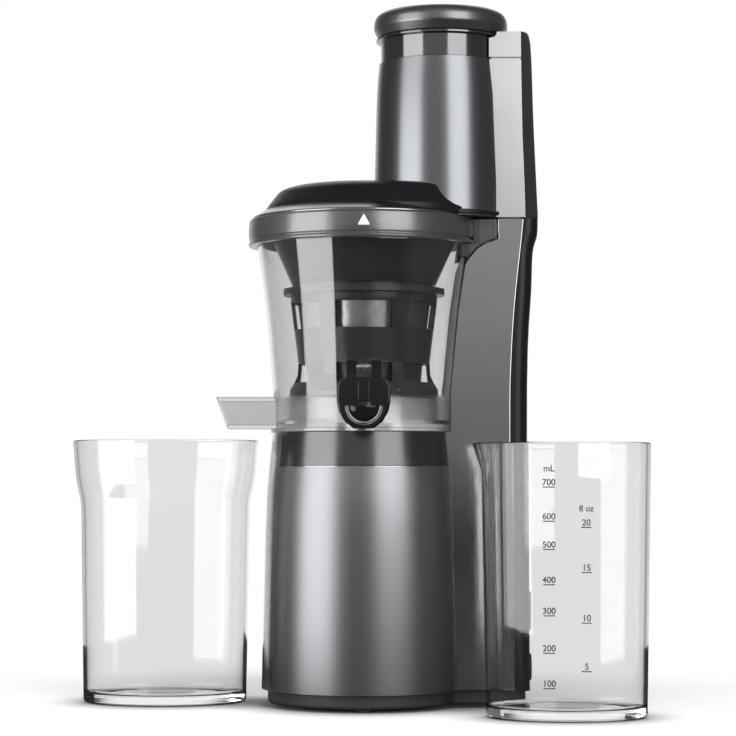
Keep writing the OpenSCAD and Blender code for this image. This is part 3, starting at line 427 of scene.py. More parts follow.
class Nodes:
    """A node tree that is being filled."""

    def __init__(self, tree):
        self.tree = tree

    def node(self, kind, settings=None, sockets=None, out=0):
        """Adds a node: its settings first, then what goes into its sockets."""
        made = self.tree.nodes.new(kind)
        for key, value in (settings or {}).items():
            if key == "stops":
                self.fill_ramp(made.color_ramp, value)
            else:
                setattr(made, key, value)
        for key, value in (sockets or {}).items():
            if isinstance(value, Value):
                self.tree.links.new(value.socket, made.inputs[key])
            else:
                made.inputs[key].default_value = value
        return Value(self, made.outputs[out] if made.outputs else None)

    def fill_ramp(self, ramp, stops):
        """Gives a colour ramp its (position, grey) stops."""
        while len(ramp.elements) < len(stops):
            ramp.elements.new(0.5)
        for element, (spot, shade) in zip(ramp.elements, stops):
            element.position = spot
            element.color = (shade, shade, shade, 1)

    def ramp(self, value, low, high, dark=0.0, light=1.0):
        """A smooth step from dark to light while the value goes from low to high."""
        return self.node("ShaderNodeMapRange", {"interpolation_type": "SMOOTHSTEP"}, {
            "Value": value, "From Min": low, "From Max": high,
            "To Min": dark, "To Max": light})

    def mix(self, amount, low, high):
        """A number between low and high."""
        return self.node("ShaderNodeMix", {"data_type": "FLOAT"}, {
            0: amount, 2: low, 3: high})

    def path(self, kind):
        """What the light path says, such as 1 for Is Camera Ray."""
        return self.node("ShaderNodeLightPath", out=kind)

    def straight(self):
        """1 where the camera looks straight on or through clear plastic only."""
        seen = self.node("ShaderNodeMath", {"operation": "MAXIMUM"}, {
            0: self.path("Is Camera Ray"), 1: self.path("Is Transmission Ray")})
        bounced = self.path("Glossy Depth") + self.path("Diffuse Depth")
        return seen * self.node("ShaderNodeMath", {"operation": "LESS_THAN"}, {
            0: bounced, 1: 0.5})


class Paint(Nodes):
    """A material as it is made: its nodes and the shader they feed."""

    def __init__(self, name, color, roughness, metallic=0.0, **plain):
        self.material = bpy.data.materials.new(name)
        self.material.use_nodes = True
        super().__init__(self.material.node_tree)
        self.shader = self.tree.nodes["Principled BSDF"]
        self.color = color
        self.set("Base Color", (*color, 1))
        self.set("Roughness", roughness)
        self.set("Metallic", metallic)
        for socket, value in plain.items():
            self.set(socket.replace("_", " "), value)

    def set(self, socket, value):
        """Gives a socket of the shader a value or a link."""
        if isinstance(value, Value):
            self.tree.links.new(value.socket, self.shader.inputs[socket])
        else:
            self.shader.inputs[socket].default_value = value

    def spot(self, scale=(1, 1, 1), centre=(0, 0, 0)):
        """Object coordinates, centred and stretched by a Mapping node."""
        where = self.node("ShaderNodeTexCoord", out="Object")
        return self.node("ShaderNodeMapping", {"vector_type": "POINT"}, {
            "Vector": where, "Location": centre, "Scale": scale})

    def noise(self, vector, scale, detail=3.0, roughness=0.55):
        """Cloudy noise: the scale is how many clouds go into a metre."""
        return self.node("ShaderNodeTexNoise", {"noise_dimensions": "3D"}, {
            "Vector": vector, "Scale": scale, "Detail": detail, "Roughness": roughness})

    def shade(self, amount, low, high):
        """Mixes two colours by a value."""
        return self.node("ShaderNodeMix", {"data_type": "RGBA"}, {
            "Factor": amount, "A": (*low, 1), "B": (*high, 1)}, out="Result")

    def bump(self, height, strength, distance):
        """A normal that follows a height, its distance in millimetres."""
        return self.node("ShaderNodeBump", None, {
            "Height": height, "Strength": strength, "Distance": distance * MM},
            out="Normal")


def mixed(paint, value, low, high):
    """The paint's colour, from low to high times itself by a value."""
    tones = [tuple(c * k for c in paint.color) for k in (low, high)]
    paint.set("Base Color", paint.shade(value, *tones))


def satin_metal(name, color, roughness):
    """Metallic paint: fine bright flakes under a satin lacquer."""
    paint = Paint(name, color, roughness, 1.0, Coat_Weight=0.1, Coat_Roughness=0.15)
    flake = paint.noise(paint.spot(), 2600, 2, 0.7)
    cloud = paint.noise(paint.spot(), 14, 3)
    mixed(paint, flake * 0.7 + cloud * 0.3, 0.92, 1.08)
    paint.set("Roughness", paint.ramp(cloud, 0.3, 0.7, roughness - 0.02, roughness + 0.03))
    paint.set("Normal", paint.bump(cloud, 0.02, 0.1))
    return paint.material


def brushed_metal(name, color, roughness, axis=(0, 0, 0)):
    """Metal brushed round its axis so finely that only a soft sheen is left."""
    paint = Paint(name, color, roughness, 1.0, Anisotropic=0.45)
    grain = paint.noise(paint.spot((14, 14, 3000), centre=axis), 1, 3)
    paint.set("Roughness", paint.ramp(grain, 0.3, 0.7, roughness - 0.01, roughness + 0.01))
    return paint.material


def gloss_plastic(name, color, roughness, index=1.9):
    """Polished moulded plastic, with a faint wave and a few dull patches."""
    paint = Paint(name, color, roughness, 0.0, IOR=index)
    cloud = paint.noise(paint.spot(), 60, 3)
    speck = paint.noise(paint.spot(), 900, 2)
    mixed(paint, cloud, 0.8, 1.2)
    paint.set("Roughness", paint.ramp(cloud * 0.8 + speck * 0.2, 0.35, 0.7,
                                      roughness, roughness + 0.04))
    paint.set("Normal", paint.bump(cloud, 0.04, 0.2))
    return paint.material


def grained_plastic(name, color, roughness, grain=0.25):
    """Moulded plastic with a fine leathery grain."""
    paint = Paint(name, color, roughness, 0.0)
    fine = paint.noise(paint.spot(), 1500, 3, 0.6)
    cloud = paint.noise(paint.spot(), 35, 2)
    mixed(paint, fine * 0.6 + cloud * 0.4, 0.82, 1.18)
    paint.set("Roughness", paint.ramp(cloud, 0.3, 0.7, roughness - 0.04, roughness + 0.06))
    paint.set("Normal", paint.bump(fine, grain, 0.12))
    return paint.material


def clear_paint(name, color, roughness, index, clear=1.0, shade=0.5):
    """Clear plastic with faint haze. It lets the lamps through, less so with more shade."""
    paint = Paint(name, color, roughness, 0.0, Transmission_Weight=clear, IOR=index)
    haze = paint.noise(paint.spot(), 40, 3)
    paint.set("Roughness", paint.ramp(haze, 0.35, 0.7, roughness, roughness + 0.03))
    mixed(paint, haze, 0.98, 1.0)
    shadow = [c ** shade for c in color]
    through = paint.node("ShaderNodeBsdfTransparent", None, {"Color": (*shadow, 1)})
    both = paint.node("ShaderNodeMixShader", None, {
        0: paint.path("Is Shadow Ray"), 1: Value(paint, paint.shader.outputs[0]), 2: through})
    output = paint.tree.nodes["Material Output"]
    paint.tree.links.new(both.socket, output.inputs["Surface"])
    return paint


def clear_bowl(name, color, sump_color, index, polish=0.015, frost=0.16):
    """Clear plastic, duller and a little frosted below the bowl's floor."""
    paint = clear_paint(name, color, polish, index)
    height = paint.node("ShaderNodeSeparateXYZ", None, {0: paint.spot()}, out="Z")
    above = paint.ramp(height, (SUMP_TOP - 1) * MM, (SUMP_TOP + 0.5) * MM)
    paint.set("Base Color", paint.shade(above, sump_color, color))
    paint.set("Roughness", paint.ramp(above, 0, 1, frost, polish))
    return paint.material


def plain_metal(name, color, roughness):
    """Machined metal with fine scratches in every direction."""
    paint = Paint(name, color, roughness, 1.0)
    scratch = paint.noise(paint.spot((1, 1, 3)), 700, 4, 0.7)
    cloud = paint.noise(paint.spot(), 50, 2)
    mixed(paint, scratch * 0.5 + cloud * 0.5, 0.85, 1.15)
    paint.set("Roughness", paint.ramp(scratch, 0.3, 0.7, roughness, roughness + 0.06))
    paint.set("Normal", paint.bump(scratch, 0.08, 0.08))
    return paint.material


def mesh_steel():
    """Thin steel sheet with rows of fine round holes."""
    paint = Paint("strainer steel", (0.62, 0.63, 0.64), 0.3, 1.0)
    cell = paint.node("ShaderNodeTexVoronoi", {"feature": "F1"}, {
        "Vector": paint.spot(), "Scale": 620.0, "Randomness": 0.25}, out="Distance")
    paint.set("Alpha", paint.ramp(cell, 0.22, 0.30))
    mixed(paint, paint.noise(paint.spot(), 300, 2), 0.85, 1.1)
    return paint.material


GREY = satin_metal("satin grey paint", (0.52, 0.525, 0.535), 0.12)
SILVER = satin_metal("satin silver paint", (0.74, 0.745, 0.755), 0.24)
GRAPHITE = brushed_metal("brushed graphite", (0.225, 0.229, 0.237), 0.295)
SLEEVE = brushed_metal("brushed sleeve", (0.19, 0.195, 0.205), 0.22,
                       (-CHUTE_X * MM, 0, 0))
BLACK = gloss_plastic("gloss black", (0.006, 0.006, 0.007), 0.07)
CAP_BLACK = gloss_plastic("cap black", (0.008, 0.008, 0.009), 0.3, 2.5)
RING_BLACK = gloss_plastic("ring black", (0.008, 0.008, 0.009), 0.09, 2.2)
COLLAR_BLACK = gloss_plastic("collar black", (0.008, 0.008, 0.009), 0.18)
COVER_BLACK = gloss_plastic("cover black", (0.006, 0.006, 0.007), 0.32, 1.35)
HINGE_BLACK = gloss_plastic("hinge black", (0.006, 0.006, 0.007), 0.09, 1.45)
MATTE = grained_plastic("matte black", (0.022, 0.022, 0.024), 0.50)
DARK = grained_plastic("dark moulded plastic", (0.016, 0.016, 0.018), 0.32, 0.1)
RUBBER = grained_plastic("rubber", (0.018, 0.018, 0.018), 0.75, 0.4)
SILICONE = gloss_plastic("silicone", (0.014, 0.014, 0.015), 0.22)
STEEL = plain_metal("steel", (0.60, 0.60, 0.61), 0.24)
COPPER = plain_metal("copper", (0.72, 0.36, 0.20), 0.35)
BRONZE = plain_metal("bronze", (0.55, 0.40, 0.19), 0.38)
NYLON = grained_plastic("nylon", (0.72, 0.69, 0.62), 0.42, 0.08)
BOARD = grained_plastic("circuit board", (0.03, 0.16, 0.08), 0.38, 0.1)
CLEAR = clear_paint("clear plastic", (0.93, 0.935, 0.94), 0.01, 1.52, shade=3.5).material
BOWL_CLEAR = clear_bowl("clear bowl plastic", (0.86, 0.865, 0.87), (0.74, 0.745, 0.755),
                        1.72)
SMOKE = clear_paint("smoky plastic", (0.27, 0.275, 0.285), 0.23, 2.1, 0.93).material
DEEP_SMOKE = clear_paint("deep smoky plastic", (0.07, 0.072, 0.076), 0.14, 1.9,
                         0.8).material
SKIRT = satin_metal("lid skirt paint", (0.30, 0.305, 0.315), 0.22)
MESH = mesh_steel()
WHITE_MARK = grained_plastic("white mark", (0.82, 0.82, 0.82), 0.5, 0.02)
PRINT = grained_plastic("grey print", (0.06, 0.06, 0.063), 0.5, 0.02)

SLOT_PAINT = {
    "satin_grey": GREY, "satin_silver": SILVER, "brushed_graphite": GRAPHITE,
    "gloss_black": BLACK, "matte_black": MATTE, "rubber": RUBBER, "silicone": SILICONE,
    "steel": STEEL, "copper": COPPER, "bronze": BRONZE, "nylon": NYLON, "board": BOARD,
    "clear": CLEAR, "smoke": SMOKE, "dark_plastic": DARK, "mesh_steel": MESH,
}


def dress_frame():
    """Gives every node of the frame the finish of its slot."""
    slots = {s["node"]: s["material_slot"] for s in frame["record"]["subparts"]}
    for name, node in frame["nodes"].items():
        node.data.materials.clear()
        node.data.materials.append(SLOT_PAINT[slots[name]])


# ---------- base ----------

def body_skin(z0, z1, inset=0.0):
    """The body's outer line between two heights, or one that lies inside it."""
    return [(r - inset, z) for r, z in part_of(flow(BODY_LINE), z0, z1)]


def wrap_band(name, z0, z1, thickness, spare=0.0):
    """A band of the body's front between two heights, with some to spare outside."""
    outer = body_skin(z0, z1, -spare)
    inner = body_skin(z0, z1, thickness)
    return turned(name, outer + inner[::-1], steps=64,
                  start=-90 - WRAP_TURN, angle=2 * WRAP_TURN)


def column_outline():
    """The column seen from the side: rear edge, top and the shoulder's S curve."""
    inner, step, low = 30, 84.2, 276.0
    shoulder = flow([(step, 299.0), (step, 294.4), (76.7, 291.6), (70.9, 287.7),
                     (66.2, 282.1), (63.0, low)], 5)
    return ([(inner, TRAY_TOP)] + flow(COLUMN_REAR, 4) + [(step, SEAM_Z)] + shoulder
            + [(inner, low)])


def bowl_room():
    """The space that the column leaves for the bowl."""
    above = 320
    side = [(r + BOWL_GAP, z) for z, r in [(DECK_Z, BOWL_FOOT_R)] + BOWL_LINE]
    return turned("bowl room", [(0, DECK_Z)] + side
                  + [(BOWL_TOP_R + BOWL_GAP, above), (0, above)])


def make_housing():
    """The grey shell: body with the collar round the shaft, and column in one skin."""
    ceiling, collar_top = DECK_Z - 3, DECK_Z + 6
    skin = body_skin(TRAY_TOP, DECK_Z)
    inside = body_skin(TRAY_TOP, ceiling, BODY_T)
    shell = skin + [(18, DECK_Z), (18, collar_top), (10, collar_top), (10, ceiling)]
    housing = turned("housing_shell", shell + inside[::-1])
    column = side_slab("column", column_outline(), COLUMN_HALF)
    soften(column, 0.9, 4, 40)
    below = TRAY_TOP - 1
    body_room = turned("body room", [(0, below)] + body_skin(below, ceiling, BODY_T)
                       + [(0, ceiling)])
    hollow = side_slab("column hollow", [
        (50, below), (95, below), (95, 171), (96, 240), (104, 300),
        (87, 300), (80, 290), (74, 240), (74, 172), (50, 168)], COLUMN_HALF - 2.4)
    cut(column, body_room, bowl_room(), hollow)
    weld(housing, column)
    cut(housing, wrap_band("recess", below, DECK_Z + 1, WRAP_T + 0.1, 1.0))
    finish_piece(housing, "base", GREY, "satin_grey", "housing")


def make_liner():
    """A black sheet on the column's face beside the bowl: painted shade for the shadowed gap
    between them.
    """
    # painted shade: a matte black sheet stands in for the shadow in the gap between the
    # column and the bowl
    near, far, half_turn = 2.9, 3.45, 36
    line = [(177, BOWL_FOOT_R)] + BOWL_LINE[:2] + [(290, 67.9)]
    shade_liner = turned("column_shade_liner", [(r + near, z) for z, r in line]
                   + [(r + far, z) for z, r in line[::-1]],
                   steps=48, start=-half_turn, angle=2 * half_turn)
    combine(shade_liner, "INTERSECT", side_slab("shade liner room", column_outline(), COLUMN_HALF - 0.4))
    finish_piece(shade_liner, "base", MATTE, "matte_black")


def make_wraps():
    """The brushed wrap round the body's front and the glossy collar over it."""
    wrap = wrap_band("front_wrap_shell", TRAY_TOP, COLLAR_Z - 0.4, WRAP_T)
    soften(wrap, 0.35, 3, 40)
    finish_piece(wrap, "base", GRAPHITE, "brushed_graphite", "front_wrap")
    collar = wrap_band("front_collar_shell", COLLAR_Z, DECK_Z, WRAP_T)
    soften(collar, 0.4, 3, 40)
    finish_piece(collar, "base", COLLAR_BLACK, "gloss_black", "front_collar")


def spine_form(name, front, rear, half, z0, z1):
    """A black cover behind the column or the tower, with its rear corners rounded."""
    points = flow(front, 4) + flow(rear[::-1], 4)
    slab = side_slab(name, points, half)
    line = [(z, x) for x, z in flow(rear, 4)]

    def is_rear_corner(middle, edge):
        return (abs(abs(middle.y) - half) < 0.01 and abs(middle.x - at(line, middle.z)) < 0.6
                and z0 + 0.01 < middle.z < z1 - 0.01)

    return round_edges(slab, SPINE_CORNER, is_rear_corner, 8)


def make_back_cover():
    """The black spine of the column, hollow, with holes for the switch and the cord."""
    front = [(x + SEAM_GAP, z) for x, z in COLUMN_REAR]
    rear = [(103, TRAY_TOP), (103, 200), (105.8, 262), (106.8, 286), (109.6, 297),
            (110, SEAM_Z)]
    cover = spine_form("back_cover_shell", front, rear, COLUMN_HALF, TRAY_TOP, SEAM_Z)
    hollow = side_slab("cover hollow", [
        (80, TRAY_TOP - 1), (100.6, TRAY_TOP - 1), (100.6, 200), (103.4, 262),
        (104.4, 286), (106.6, 300), (80, 300)], 20)
    low, high = SWITCH_Z - 10.1, SWITCH_Z + 10.1
    cut(cover, hollow,
        side_slab("switch hole", [(95, low), (110, low), (110, high), (95, high)], 7.6),
        rod("cord hole", (90, 0, CORD_Z), (110, 0, CORD_Z), 6))
    soften(cover, 0.5, 3, 40)
    finish_piece(cover, "base", COVER_BLACK, "gloss_black", "back_cover")


def round_at(radius, angle):
    """A point on a circle round the chamber axis, X and Y."""
    a = math.radians(angle)
    return radius * math.cos(a), radius * math.sin(a)


def make_tray():
    """The black tray under the body, with its slots and screw pockets."""
    corner = math.degrees(math.asin(TRAY_HALF / TRAY_R))
    steps = 96
    turns = [corner + i * (360 - 2 * corner) / steps for i in range(steps + 1)]
    outline = [round_at(TRAY_R, a) for a in turns] + [
        (100, -TRAY_HALF, 8), (100, TRAY_HALF, 8)]
    tray = plan_slab("base_tray_shell", outline, TRAY_FOOT, TRAY_TOP)
    round_edges(tray, 2.2, lambda m, e: abs(m.z - TRAY_FOOT) < 0.01, 4)
    inside = [round_at(TRAY_R - TRAY_T, a) for a in turns] + [
        (97, 3 - TRAY_HALF), (97, TRAY_HALF - 3)]
    tools = [plan_slab("tray room", inside, 5, 12)]
    for i in range(-3, 4):
        reach, y, half = 24 - abs(i) * 3, i * 8, 1.5
        tools.append(plan_slab("slot", [
            (-reach, y - half, 1.4), (reach, y - half, 1.4),
            (reach, y + half, 1.4), (-reach, y + half, 1.4)], 1, 6))
    for angle in (60, 140, 220, 300):
        at_screw = round_at(53, angle)
        tools.append(rod("pocket", (*at_screw, 1), (*at_screw, 3.6), 3.6))
    cut(tray, *tools)
    finish_piece(tray, "base", MATTE, "matte_black", "base_tray")


def make_feet():
    """The rubber ring with its tread and front pad, and the two rear feet."""
    height, inner, outer = 3.2, 40, 48
    ring = turned("foot_ring_rubber", [
        (inner, 0, 0.6), (outer, 0, 0.6), (outer, height), (inner, height)])
    cut(ring, turned("tread", [(43, -1), (45, -1), (44.6, 0.7), (43.4, 0.7)]))
    pad = rod("pad", (0, -51, 0), (0, -51, 2), 7)
    soften(pad, 0.5, 3)
    cut(pad, rod("pad room", (0, 0, -1), (0, 0, 4), outer + 0.02, ROUND))
    join("foot_ring_rubber", ring, pad)
    finish_piece(ring, "base", RUBBER, "rubber", "foot_ring")
    feet = [soften(rod("foot", (86, y, 0), (86, y, height), 7), 0.5, 3) for y in (-15, 15)]
    finish_piece(join("rear_feet_rubber", *feet), "base", RUBBER, "rubber", "rear_feet")


def make_switch():
    """The frame of the switch and its rocker, tilted as at rest."""
    def z(up):
        return SWITCH_Z + up

    bezel = side_slab("switch_bezel_frame", [
        (94, z(-10)), (103, z(-10)), (103, z(-12)), (104.4, z(-12), 0.8),
        (104.4, z(12), 0.8), (103, z(12)), (103, z(10)), (94, z(10))], 9.5)
    flank = [(93, z(-11)), (103, z(-11)), (103, z(11)), (93, z(11))]
    well = [(92, z(-8.6)), (106, z(-8.6)), (106, z(8.6)), (92, z(8.6))]
    cut(bezel, side_slab("flank", flank, 2, 9.6), side_slab("flank", flank, 2, -9.6),
        side_slab("well", well, 6))
    soften(bezel, 0.35, 3)
    finish_piece(bezel, "base", DARK, "matte_black", "switch_bezel")
    rocker = side_slab("rocker_key", [
        (ROCKER_X, z(-6.6), 0.8), (104, z(-7.6), 0.8), (103, z(0)), (104, z(7.6), 0.8),
        (ROCKER_X, z(6.6), 0.8)], 5.6)
    soften(rocker, 0.3, 3, 50)
    pin = rod("rocker pin", (ROCKER_X, -7, z(0)), (ROCKER_X, 7, z(0)), 1.5, 24)
    join("rocker_key", rocker, pin)
    tilt(rocker, ROCKER_TILT, (ROCKER_X, 0, z(0)))
    finish_piece(rocker, "switch", BLACK, "gloss_black", "rocker")


def tilt(piece, angle, centre):
    """Turns a piece about Y by an angle in degrees, as a CAD rotation does."""
    activate(piece)
    bpy.ops.object.mode_set(mode="EDIT")
    bpy.ops.mesh.select_all(action="SELECT")
    bpy.ops.transform.rotate(value=-math.radians(angle), orient_axis="Y",
                             center_override=place(*centre))
    bpy.ops.object.mode_set(mode="OBJECT")


def make_inlet():
    """The ring through which a cord would enter the spine."""
    inlet = turned_x("cord_inlet_bush", [
        (97, 6), (103, 6), (103, 8.5), (105, 8.5, 0.7), (105, 3.6, 0.6), (97, 3.6)],
        0, CORD_Z)
    finish_piece(inlet, "base", MATTE, "matte_black", "cord_inlet")


# ---------- bowl ----------

def make_bowl():
    """The clear bowl with its sump and the holes for both outlets."""
    side = flow([(r, z) for z, r in BOWL_LINE], 6)
    side.insert(-1, (68.13, RIM_Z - 0.5))      # keeps the bend under the rim crisp
    foot = [(59.5, DECK_Z, 0.4), (59.5, 175, 0.4), (57, 175), (57, 191.6),
            (BOWL_FOOT_R, 193.6)]
    top = [(BOWL_TOP_R, 303), (BOWL_TOP_R - BOWL_T, 303)]
    inner = [(r - BOWL_T, z) for r, z in side[::-1]]
    sump = [(54.5, 191), (54.5, 180), (47.5, 180), (47.5, FLOOR_TOP, 1), (9.5, FLOOR_TOP),
            (9.5, FLOOR_UNDER), (45, FLOOR_UNDER), (45, 177.5), (54.5, 177.5),
            (54.5, DECK_Z)]
    bowl = turned("bowl_shell", foot + side + top + inner + sump)
    low, high = FLOOR_UNDER - 1, FLOOR_TOP + 1
    cut(bowl, pulp_block("pulp hole"),
        rod("spout hole", (0, -45, SPOUT_Z), (0, -80, SPOUT_Z), SPOUT_R, 96),
        side_slab("pulp drop", [(-33, low), (-22, low), (-22, high), (-33, high)], 7),
        rod("idler hole", (27.5, 0, low), (27.5, 0, high), 4))
    finish_piece(bowl, "bowl", BOWL_CLEAR, "clear", "bowl")


def pulp_block(name):
    """The outer form of the pulp chute."""
    return side_slab(name, [(-42, PULP_Z), (-86.4, PULP_Z), (-93.8, PULP_TOP),
                            (-42, PULP_TOP)], PULP_HALF)


def make_rim():
    """The smoky band round the bowl's top, its lip, its lug and its mark."""
    loop = [(BOWL_TOP_R, RIM_Z), (73.7, RIM_Z, 0.6), (RIM_R, 293.0, 0.5),
            (72.7, 293.8, 0.3), (72.7, 294.6, 0.3), (73.5, 295.2, 0.3), (73.8, 300),
            (73.4, 307.2, 0.9), (72.6, LID_Z, 0.5), (BOWL_TOP_R, LID_Z)]
    finish_piece(turned("bowl_rim_band", loop), "bowl", SMOKE, "smoke", "bowl_rim")
    inner, low, high = 60, 282.7, 307
    lug = side_slab("bowl_lug", [
        (inner, high), (inner, low), (66.2, low), (70.9, 288.3), (76.7, 292.2),
        (83.8, 294.9, 1.6), (83.8, high, 1.2)], TOWER_HALF)
    soften(lug, 0.7, 3, 50)
    outside = RIM_R + 0.05
    cut(lug, turned("lug room", [(0, 270)] + [(r, z) for z, r in BOWL_LINE[1:]]
                    + [(outside, RIM_Z - 0.05), (outside, 310), (0, 310)]))
    finish_piece(lug, "bowl", DEEP_SMOKE, "smoke")
    mark = front_slab("lock_mark", [(-3.7, 298.4, 0.3), (3.7, 298.4, 0.3), (0, 305.0, 0.3)],
                      -RIM_R - 0.4, -72)
    finish_piece(mark, "bowl", WHITE_MARK, "smoke")


def make_pulp_chute():
    """The clear trough through which the pulp leaves."""
    chute = pulp_block("pulp_chute_trough")
    weld(chute, side_slab("under", [(-43, PULP_Z), (-19, PULP_Z), (-19, FLOOR_UNDER),
                                    (-43, FLOOR_UNDER)], PULP_HALF))
    low, high, end = PULP_Z + PULP_T, PULP_TOP - PULP_T, -110
    cut(chute, side_slab("way", [
        (end, low), (-21.4, low), (-21.4, FLOOR_UNDER), (-42, FLOOR_UNDER), (-42, high),
        (end, high)], PULP_HALF - PULP_T))
    soften(chute, 0.6, 3, 50)
    finish_piece(chute, "bowl", BOWL_CLEAR, "clear", "pulp_chute")


def make_spout():
    """The clear tube, its bead at the end, and the tab that holds the hinge pin."""
    root, bore = -54.5, 10.3
    spout = turned_y("juice_spout_tube", [
        (root, SPOUT_R), (-78.6, SPOUT_R), (-79.2, SPOUT_R + 0.1, 0.3),
        (-80, SPOUT_R - 0.3, 0.4), (-80, 10.7, 0.4), (-79, bore), (root, bore)], 0, SPOUT_Z)
    tab = cross_slab("tab", [(-77.5, 192), (-69.5, 192), (-71.5, 211, 2.8),
                             (-73.6, 214, 2.4), (-77.5, 212.4, 2.6)], -4.2, 8.4)
    soften(tab, 0.4, 2, 50)
    cut(tab, rod("tube room", (0, -60, SPOUT_Z), (0, -90, SPOUT_Z), SPOUT_R - 1, 96),
        rod("pin hole", (-6, *PIN_AT), (6, *PIN_AT), 1.5, 32))
    weld(spout, tab)
    finish_piece(spout, "bowl", BOWL_CLEAR, "clear", "juice_spout")


def make_spout_cap():
    """The black cap that hinges over the spout: plug, hood, rib and two ears."""
    edge = [(10.4, 204.6), (14.4, 203.2), (16.2, 199.6), (16.3, 190), (15.2, 184.4),
            (11.4, 177.6), (6.2, 173.6)]
    cap = front_slab("spout_cap_hood", edge + [(-x, z) for x, z in edge[::-1]], -84, -78)
    soften(cap, 1.4, 4, 40)
    room = rod("hood room", (0, -80.4, SPOUT_Z), (0, -76, SPOUT_Z), 13.1, 96)
    end = rod("tube end", (0, -79, SPOUT_Z), (0, -86, SPOUT_Z), 11.5, 96)
    cut(end, side_slab("above", [(-30, SPOUT_Z), (30, SPOUT_Z), (30, 230), (-30, 230)],
                       10, -82))
    cut(cap, room, end)
    plug = turned_y("plug", [(-84.6, 0.01), (-84.2, 4), (-83.2, 7.4), (-81.9, 9.1, 0.4),
                             (-81, 9.5), (-76.5, 9.3, 0.6), (-76.5, 0.01)], 0, SPOUT_Z)
    half, low, high = 3.7, SPOUT_Z + 3, SPOUT_Z + 15.6
    rib = front_slab("rib", [(-half, low, 1), (half, low, 1), (half, high, 1.6),
                             (-half, high, 1.6)], -85.2, -82)
    soften(rib, 0.7, 3, 50)
    ears = [soften(cross_slab("ear", [
        (-84, 200.8), (-80.8, 200.8), (-74.5, 206.6, 3), (-70.1, 208.4, 3.6),
        (-70.3, 215.4, 4), (-77.6, 215.6, 3.6), (-82.6, 206.4, 3), (-84, 202.8, 1)],
        x, 6), 0.8, 3, 40) for x in (-10.6, 4.6)]
    weld(cap, plug, rib, *ears)
    cut(cap, rod("pin hole", (-14, *PIN_AT), (14, *PIN_AT), 1.75, 32))
    finish_piece(cap, "cap", HINGE_BLACK, "gloss_black", "spout_cap")


# ---------- lid and chute ----------

def make_lid():
    """The grey skirt of the lid and the black dome, which falls away beside the chute."""
    skirt = turned("lid_skirt_ring", [
        (58, LID_Z), (71.9, LID_Z, 0.4), (71.8, SKIRT_Z, 0.5), (63.6, DOME_Z), (58, DOME_Z)])
    cut(skirt, rod("chute room", (CHUTE_X, 0, 300), (CHUTE_X, 0, 330), SLEEVE_ROOM_R, ROUND))
    finish_piece(skirt, "lid", SKIRT, "satin_silver", "lid_skirt")
    dome = stadium("lid_dome_shell", [
        (0, DOME_Z - 0.2), (DOME_R, DOME_Z - 0.2), (DOME_R - 1.4, DOME_Z + 2.4, 1.4),
        (DOME_R - 9.2, DOME_Z + 12.6, 3), (DOME_R - 18, DOME_Z + 15.2, 3),
        (DOME_R / 5, DOME_Z + 16), (0, DOME_Z + 16)])
    cut(dome, sweep())
    front_wall = rod("front wall", (DOME_RUN, 0, SKIRT_Z),
                     (DOME_RUN, 0, DOME_Z - 0.15), DOME_R, ROUND)
    cut(front_wall, sweep())
    foot = turned("chute foot", [(42.2, SKIRT_Z), (44.4, SKIRT_Z, 0.3),
                                 (44.4, DOME_Z - 2.4, 0.5), (42.2, DOME_Z - 2)], CHUTE_X)
    weld(dome, front_wall, foot)
    cut(dome, turned("skirt room", [
        (0, LID_Z - 2), (72.1, LID_Z - 2), (72.1, SKIRT_Z), (63.75, DOME_Z + 0.05),
        (63.2, DOME_Z - 0.15), (0, DOME_Z - 0.15)]),
        rod("chute room", (CHUTE_X, 0, 300), (CHUTE_X, 0, 340), SLEEVE_ROOM_R, ROUND),
        side_slab("tower room", [(CHUTE_X, 300), (150, 300), (150, 340), (CHUTE_X, 340)],
                  TOWER_HALF + 0.05))
    finish_piece(dome, "lid", COVER_BLACK, "gloss_black", "lid_dome")


def sweep():
    """What is taken away where the dome falls in a hollow curve beside the chute."""
    return side_slab("sweep", [
        (43.5, 331), (45.4, 325.8), (48.2, 320.8), (51.4, 317.3), (56.5, 314.2),
        (63.3, 312.4), (72, 311.8), (96, 311.4), (96, 340), (43.5, 340)], 70)


def stadium(name, line):
    """A turned solid that runs on along X: spun at both ends and drawn out between."""
    piece = draw(name, line, lambda r, z: (0, r, z), closed=False)
    run = place(DOME_RUN, 0, 0)
    for centre, onward in ((place(0, 0, 0), run), (run, -run)):
        bpy.ops.mesh.spin(steps=ROUND // 2, angle=-math.pi, center=centre, axis=(0, 0, 1))
        bpy.ops.mesh.extrude_region_move(TRANSFORM_OT_translate={"value": onward})
    return close_up(piece)


